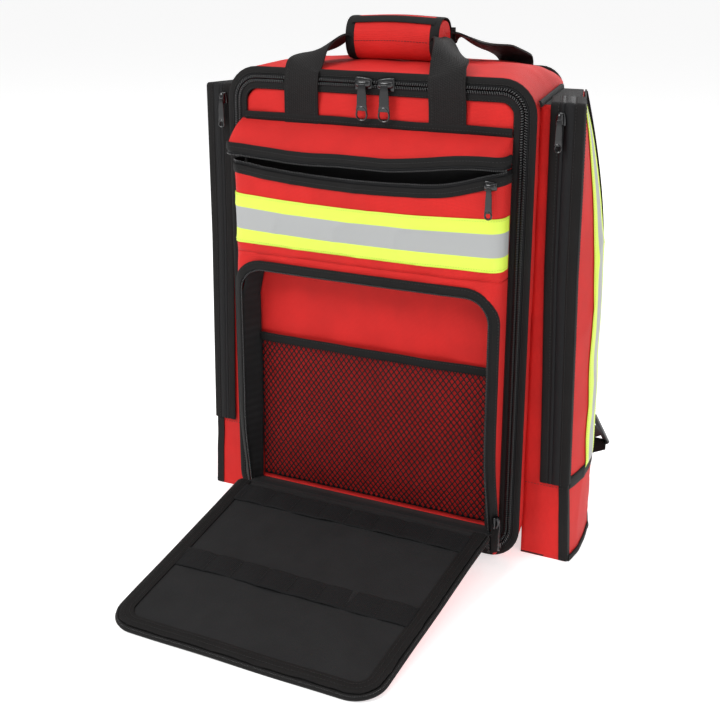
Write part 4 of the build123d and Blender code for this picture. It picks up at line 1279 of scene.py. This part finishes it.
def gathered(share):
    """The section of carry webbing, which narrows and cups where it goes into the grip."""
    half = mix(WEB, 27, ease(share, 0.5, 1.0)) / 2
    cup = 3.0 * ease(share, 0.55, 1.0)
    top = [(x * half, 0.9 + cup * (1 - x * x)) for x in (-1, -0.6, -0.2, 0.2, 0.6, 1)]
    return top + [(x, z - 1.8) for x, z in reversed(top)]


def make_webbing(side, word):
    """One side of both carry loops, from the pack up into the grip."""
    y = ZIP_LOW.y - 1.4
    path = through([
        (side * LEG_X, y, HOOD_TOP + 1), (side * LEG_X, y - 0.4, HOOD_TOP + 25),
        (side * (LEG_X - 1), y - 1.6, HEIGHT - 10), (side * (LEG_X - 2), y + 2.5, HEIGHT + 3),
        (side * (LEG_X - 7), y + 20, HEIGHT + 15), (side * (GRIP_END + 6), GRIP_Y - 12, GRIP_Z - 3),
        (side * (GRIP_END - 8), GRIP_Y - 2, GRIP_Z),
    ], 48)
    turns = [ease(share, 0.5, 0.85) for share in steps(48)]
    ups = [Vector((side * 0.9 * turn, -1 + 0.5 * turn, 0.5 * turn)) for turn in turns]
    nodes = ["front_carry_loop"] if side > 0 else []
    finish(sweep(path, ups, gathered), f"front_webbing_{word}", "webbing", "front_cover", *nodes)
    rows = [(path[:22], FRONTWARDS, across, 1.0) for across in (15.5, -15.5)]
    stitched(f"front_webbing_stitches_{word}", "front_cover", rows)
    path = through([
        (side * LEG_X, REAR + 1.2, REAR_LOOP_LOW.z + 2), (side * LEG_X, REAR + 1.4, HEIGHT - 8),
        (side * (LEG_X - 1), REAR - 4, HEIGHT + 4), (side * (LEG_X - 5), REAR - 40, HEIGHT + 15),
        (side * (LEG_X - 12), 22, GRIP_Z - 7), (side * (GRIP_END + 8), -4, GRIP_Z - 1),
        (side * (GRIP_END - 8), REAR_LOOP_LOW.y + 2, GRIP_Z),
    ], 48)
    ups = [
        Vector((side * 0.8 * ease(share, 0.5, 0.85), 1, 1.4 * ease(share, 0.25, 0.5)))
        for share in steps(48)
    ]
    nodes = ["rear_carry_loop"] if side > 0 else []
    finish(sweep(path, ups, gathered), f"rear_webbing_{word}", "webbing", "pack", *nodes)


def grip_skin(x, angle, grow=0.0):
    """A point on the grip's flattened tube; angle 0 is the rear, 90 the top, 180 the front."""
    a = radians(angle)
    full = (1 - 0.16 * ease(abs(x), GRIP_END - 9, GRIP_END + 1)) * (1.0 + 0.03 * cos(x / GRIP_END * pi / 2))
    c, s = cos(a), sin(a)
    y = (GRIP_DEEP * full + grow) * abs(c) ** 0.85 * (1 if c > 0 else -1)
    z = (GRIP_TALL * full + grow) * abs(s) ** 0.85 * (1 if s > 0 else -1)
    fold = 0.5 * ripple(x, a * 20, 0, 16, 5.0)
    rise = 0.6 * cos(x / GRIP_END * pi)
    return Vector((x, GRIP_Y + y * (1 + fold / GRIP_DEEP), GRIP_Z + z + rise))


def make_grip():
    """The padded red grip, bound at its ends and along both edges of its wrap."""
    girth = 126
    bm = cloth(2 * GRIP_END, girth, 3.5, lambda u, v: grip_skin(u - GRIP_END, 360 * v / girth), closed=True)
    bmesh.ops.holes_fill(bm, edges=[e for e in bm.edges if e.is_boundary], sides=0)
    bmesh.ops.recalc_face_normals(bm, faces=bm.faces)
    grip = finish(bm, "grip_pad", "red_cloth", "front_cover", "carry_grip", smooth=60)
    for side, word in SIDES:
        x = side * (GRIP_END - 4.2)
        around = [grip_skin(x, angle, 0.3) for angle in steps(48, 0, 360)[:-1]]
        outs = [(p - Vector((x, GRIP_Y, GRIP_Z))).normalized() for p in around]
        bound(f"grip_end_binding_{word}", "front_cover", around, outs, band(10, 1.1, 0.5), closed=True)
    for name, angle in (("front", 128), ("rear", 52)):
        line = [grip_skin(x, angle, 0.2) for x in steps(30, 5 - GRIP_END, GRIP_END - 5)]
        out = (grip_skin(0, angle, 4) - grip_skin(0, angle, 0)).normalized()
        bound(f"grip_{name}_binding", "front_cover", line, out, band(9, 1.1, 0.5))
    row = [grip_skin(x, 184, 0.1) for x in steps(30, 10 - GRIP_END, GRIP_END - 10)]
    stitched("grip_stitches", "front_cover", [(row, FRONTWARDS, 0.0, 0.1)])


def make_handle():
    """Front and rear webbing loops and the padded grip round them."""
    for side, word in SIDES:
        make_webbing(side, word)
    bar = [Vector((x, REAR_LOOP_LOW.y + 2.5, GRIP_Z)) for x in steps(20, -GRIP_END, GRIP_END)]
    finish(sweep(bar, REARWARDS, band(20, 2)), "rear_webbing_bar", "webbing", "pack")
    make_grip()


make_handle()


# ---------------------------------------------------------------- sliders and pulls
def positive(direction):
    """The same direction without its signs."""
    return Vector(map(abs, direction))


def extent(size, direction):
    """A box's size along one of its own directions."""
    return size.dot(positive(direction))


def block(centre, size, cuts):
    """A cut-up block, ready to be shaped."""
    bm = bmesh.new()
    place = Matrix.Translation(centre) @ Matrix.Diagonal((*size, 1))
    bmesh.ops.create_cube(bm, size=1, matrix=place)
    bmesh.ops.subdivide_edges(bm, edges=bm.edges, cuts=cuts, use_grid_fill=True)
    return bm


def soften(bm, radius):
    """Rounds a casting's sharp edges."""
    edges = [e for e in bm.edges if e.is_manifold and e.calc_face_angle() > SHARP]
    bmesh.ops.bevel(bm, geom=edges, offset=radius, segments=3, profile=0.5, affect="EDGES", material=-1)


def make_slider(node, facing, along):
    """A cast slider: a waisted body with a domed bridge for its pull."""
    low, high = box(node)
    middle, size = (low + high) / 2, high - low
    tall, long, across = extent(size, facing), extent(size, along), along.cross(facing)
    bm = block(middle - facing * (tall * 0.22), size - positive(facing) * tall * 0.45, cuts=2)
    for vert in bm.verts:
        share = (vert.co - middle).dot(along) / (long / 2)
        vert.co -= across * (vert.co - middle).dot(across) * 0.3 * ease(share, -0.2, 1.0)
    soften(bm, 1.0)
    top = middle + facing * (tall * 0.28)
    arch = [top + along * (long * 0.36 * cos(a)) + facing * (1.6 * sin(a) - 0.8) for a in steps(12, 0, pi)]
    join(bm, sweep(arch, across, tube(2.2, 1.5, 12)))
    finish(bm, node + "_cast", "enamel", node, node, smooth=60)


def make_pull(node, facing):
    """A flat pull with a stamped tab and a wire ring at its end."""
    low, high = box(node)
    middle, thin = (low + high) / 2, facing.cross(UPWARDS)
    wide = extent(high - low, thin)
    tab_low = low.z + wide * 0.78
    tall = high.z - tab_low
    centre = Vector((middle.x, middle.y, (tab_low + high.z) / 2))
    bm = block(centre, positive(thin) * wide * 0.8 + positive(facing) * 1.5 + UPWARDS * tall, cuts=3)
    for vert in bm.verts:
        share = (vert.co.z - tab_low) / tall
        off = (vert.co - centre).dot(thin)
        vert.co -= thin * off * (0.34 * ease(share, 0.55, 1.0) - 0.18 * ease(share, 0.3, 0.0))
    soften(bm, 0.55)
    finish(bm, node + "_tab", "enamel", node, node, smooth=60)
    eye, ring = Vector((middle.x, middle.y, low.z + wide / 2)), wide / 2 - 0.9
    loop = []
    for a in steps(28, 0, 2 * pi)[:-1]:
        stretch = 1.35 if sin(a) > 0 else 1.0
        loop.append(eye + thin * (ring * cos(a)) + UPWARDS * (ring * stretch * sin(a)))
    finish(sweep(loop, facing, tube(1.0), True), node + "_ring", "enamel", node)


RIGHTWARDS = Vector((1, 0, 0))
for name, facing, along in (
    ("main_left", FRONTWARDS, RIGHTWARDS),
    ("main_right", FRONTWARDS, -RIGHTWARDS),
    ("upper", FRONTWARDS, RIGHTWARDS),
    ("lid", RIGHTWARDS, UPWARDS),
    ("side_left", FRONTWARDS, UPWARDS),
    ("side_right", FRONTWARDS, UPWARDS),
):
    make_slider(name + "_slider", facing, along)
    make_pull(name + "_pull", facing)


# ---------------------------------------------------------------- back and harness
def settle(bm, low, high, cap, pressure=4.0, voxel=5.0):
    """Swells a closed shape as a stuffed cover does, each point moving no further than cap."""
    bmesh.ops.transform(bm, matrix=Matrix.Scale(MM, 4), verts=bm.verts)
    mesh = bpy.data.meshes.new("stuffing")
    bm.to_mesh(mesh)
    bm.free()
    pad = bpy.data.objects.new("stuffing", mesh)
    bpy.context.scene.collection.objects.link(pad)
    bpy.context.view_layer.objects.active = pad
    remesh = pad.modifiers.new("remesh", "REMESH")
    remesh.mode, remesh.voxel_size = "VOXEL", voxel * MM
    bpy.ops.object.modifier_apply(modifier="remesh")
    rest = [vert.co.copy() for vert in pad.data.vertices]
    sim = pad.modifiers.new("cloth", "CLOTH")
    sim.settings.use_pressure = True
    sim.settings.uniform_pressure_force = pressure
    sim.settings.effector_weights.gravity = 0
    sim.settings.quality = 5
    sim.point_cache.frame_end = 20
    for number in range(1, 21):
        bpy.context.scene.frame_set(number)
    bpy.ops.object.modifier_apply(modifier="cloth")
    bpy.context.scene.frame_set(1)
    for vert, start in zip(pad.data.vertices, rest):
        move = vert.co - start
        if move.length > cap * MM:
            move *= cap * MM / move.length
        spot = start + move
        vert.co = Vector(min(max(c, a * MM), b * MM) for c, a, b in zip(spot, low, high))
    bm = bmesh.new()
    bm.from_mesh(pad.data)
    bpy.data.objects.remove(pad)
    bmesh.ops.transform(bm, matrix=Matrix.Scale(1 / MM, 4), verts=bm.verts)
    return bm


def stuffed(node, finish_name, body, shrink, cap, channels=(), name=None):
    """A stuffed pad made from its frame node, with sewn channels pressed in at given heights."""
    low, high = box(node)
    bm = copied(node)
    middle = (low + high) / 2
    for vert in bm.verts:
        for axis in range(3):
            vert.co[axis] -= shrink * (1 if vert.co[axis] > middle[axis] else -1)
    bmesh.ops.triangulate(bm, faces=bm.faces)
    grow = Vector((2.0, 1.5, 2.0))
    least = low - grow
    if low.y > REAR - 1:
        least.y = max(least.y, REAR + 0.3)
    bm = settle(bm, least, high + grow, cap)
    for vert in bm.verts:
        for level in channels:
            vert.co.y -= 3.0 * exp(-((vert.co.z - level) / 3.0) ** 2) * ease(vert.co.y, middle.y, high.y)
    lay_weave(bm)
    piece = finish(bm, name or node + "_pad", finish_name, body, node, smooth=180, levels=1)
    return piece


def make_back():
    """Back pads, lumbar pad and their bindings."""
    for word in ("left", "right"):
        low, high = box(f"back_pad_{word}")
        levels = [mix(low.z, high.z, share) for share in (0.25, 0.5, 0.75)]
        stuffed(f"back_pad_{word}", "spacer", "pack", 1.2, 5, levels)
        frame_edge(f"back_pad_{word}_binding", low, high, 24)
    low, high = box("lumbar_pad")
    stuffed("lumbar_pad", "spacer", "pack", 1.2, 5)
    frame_edge("lumbar_pad_binding", low, high, 24)


def frame_edge(name, low, high, radius):
    """Bias binding round a pad, where it is sewn to the back."""
    middle, half = (low.x + high.x) / 2, (high.x - low.x) / 2
    path = [
        Vector((middle + x, REAR + 0.3, z))
        for x, z in (rounded(s, half - 0.5, low.z + 0.5, high.z - 0.5, radius) for s in ring_stops())
    ]
    bound(name, "pack", path, REARWARDS, band(6, 1.6, 0.8), closed=True)


STRAP_LINE = ((62, 458), (72, 350), (88, 250), (122, 165), (166, 86))


def strap_half(share):
    """Half a shoulder strap's width, which narrows at its foot."""
    return mix(60, 36, ease(share, 0.80, 1.0)) / 2


def quilted(share, thick=11.5):
    """A shoulder strap's section, pressed in by a row of quilting on each side."""
    half, points = strap_half(share), []
    for a in steps(20, 0, 2 * pi)[:-1]:
        c, s = cos(a), sin(a)
        flat = abs(s) ** 0.55 * (1 if s > 0 else -1)
        quilt = 1 - 0.16 * exp(-((abs(c) * half - half * 0.42) / 3.0) ** 2)
        points.append((half * abs(c) ** 0.9 * (1 if c > 0 else -1), thick / 2 * flat * quilt))
    return points


def make_straps():
    """Shoulder straps, padded and bound, with their ladder-locks and adjusting webbing."""
    low, high = box("shoulder_strap_right")
    crown = high.y - 6
    rest = REAR + 20
    for side, word in SIDES:
        count = 70
        line = through([(side * x, 0, z) for x, z in STRAP_LINE], count)
        path = []
        for p in line:
            share = (p.z - low.z) / (high.z - low.z)
            y = mix(rest, crown, max(0.0, 1 - (2 * share - 1) ** 2))
            path.append(Vector((p.x, mix(y, REAR + 7, ease(share, 0.88, 1.0)), p.z)))

        bm = sweep(path, REARWARDS, quilted)
        strap = f"shoulder_strap_{word}"
        piece = finish(bm, f"{strap}_pad", "black_cloth", "pack", strap, smooth=60)
        for edge, sign in (("inner", -1), ("outer", 1)):
            run = []
            for i, p in enumerate(path):
                across = directions(path, REARWARDS, i, False)[1]
                run.append(p + across * (sign * (strap_half(i / count) - 0.5)))
            bm = sweep(run, REARWARDS, tube(2.3, 1.7))
            finish(bm, f"{strap}_{edge}_binding", "binding", "pack")
        web = [p + Vector((0, 7.0, 0)) for p in path[6:64]]
        finish(sweep(web, REARWARDS, band(25, 1.6)), f"{strap}_webbing", "webbing", "pack")
        moulded(f"ladder_lock_{word}", "plastic", "pack", 1.0)
        moulded(f"lower_webbing_{word}", "webbing", "pack", 0.5, 2)


def make_buckles():
    """Sternum strap and waist belt."""
    for node, finish_name, body, radius in (
        ("sternum_webbing", "webbing", "sternum_strap", 0.5),
        ("sternum_runners", "plastic", "sternum_strap", 1.0),
        ("sternum_socket", "plastic", "sternum_strap", 1.0),
        ("sternum_plug", "plastic", "sternum_plug", 0.8),
        ("hip_webbing", "webbing", "pack", 0.5),
        ("hip_socket", "plastic", "pack", 1.2),
        ("hip_plug", "plastic", "hip_plug", 1.0),
    ):
        moulded(node, finish_name, body, radius)
    for word in ("left", "right"):
        stuffed(f"hip_wing_{word}", "spacer", "pack", 1.5, 5)


def make_inside():
    """Padded shelves, foam, boards and the flat organiser on the cover."""
    for word in ("lower", "upper"):
        moulded(f"shelf_divider_{word}", "lining", "pack", 2.4, 4)
    moulded("back_foam", "foam", "pack", 1.5)
    moulded("frame_sheet", "board", "pack", 0.5, 2)
    moulded("base_board", "board", "pack", 0.5, 2)
    low, high = box("cover_organiser")
    wide, tall = high.x - low.x, high.z - low.z

    def place(u, v):
        x, z = low.x + u, low.z + v
        return Vector((x, high.y - 3.5 + 2.5 * sin(pi * u / wide) + 0.8 * ripple(x, 0, z, 30), z))

    mesh = net(wide, tall, 4.4, 0.8, place)
    flat = sum(face.calc_area() for face in mesh.faces) * MM * MM
    piece = finish(mesh, "organiser_net", "net", "front_cover", "cover_organiser", thick=0.5)
    top = [place(u, tall - 3) + Vector((0, 0.6, 0)) for u in steps(50, 0, wide)]
    bound("organiser_binding", "front_cover", top, REARWARDS, band(10, 1.0, 0.4))
    edge = [Vector((low.x, high.y - 4, z)) for z in steps(20, high.z, low.z)]
    edge += [Vector((x, high.y - 4, low.z)) for x in steps(40, low.x, high.x)[1:]]
    edge += [Vector((high.x, high.y - 4, z)) for z in steps(20, low.z, high.z)[1:]]
    bound("organiser_edge", "front_cover", edge, REARWARDS, band(7, 1.4, 0.5))


make_back()
make_straps()
make_buckles()
make_inside()
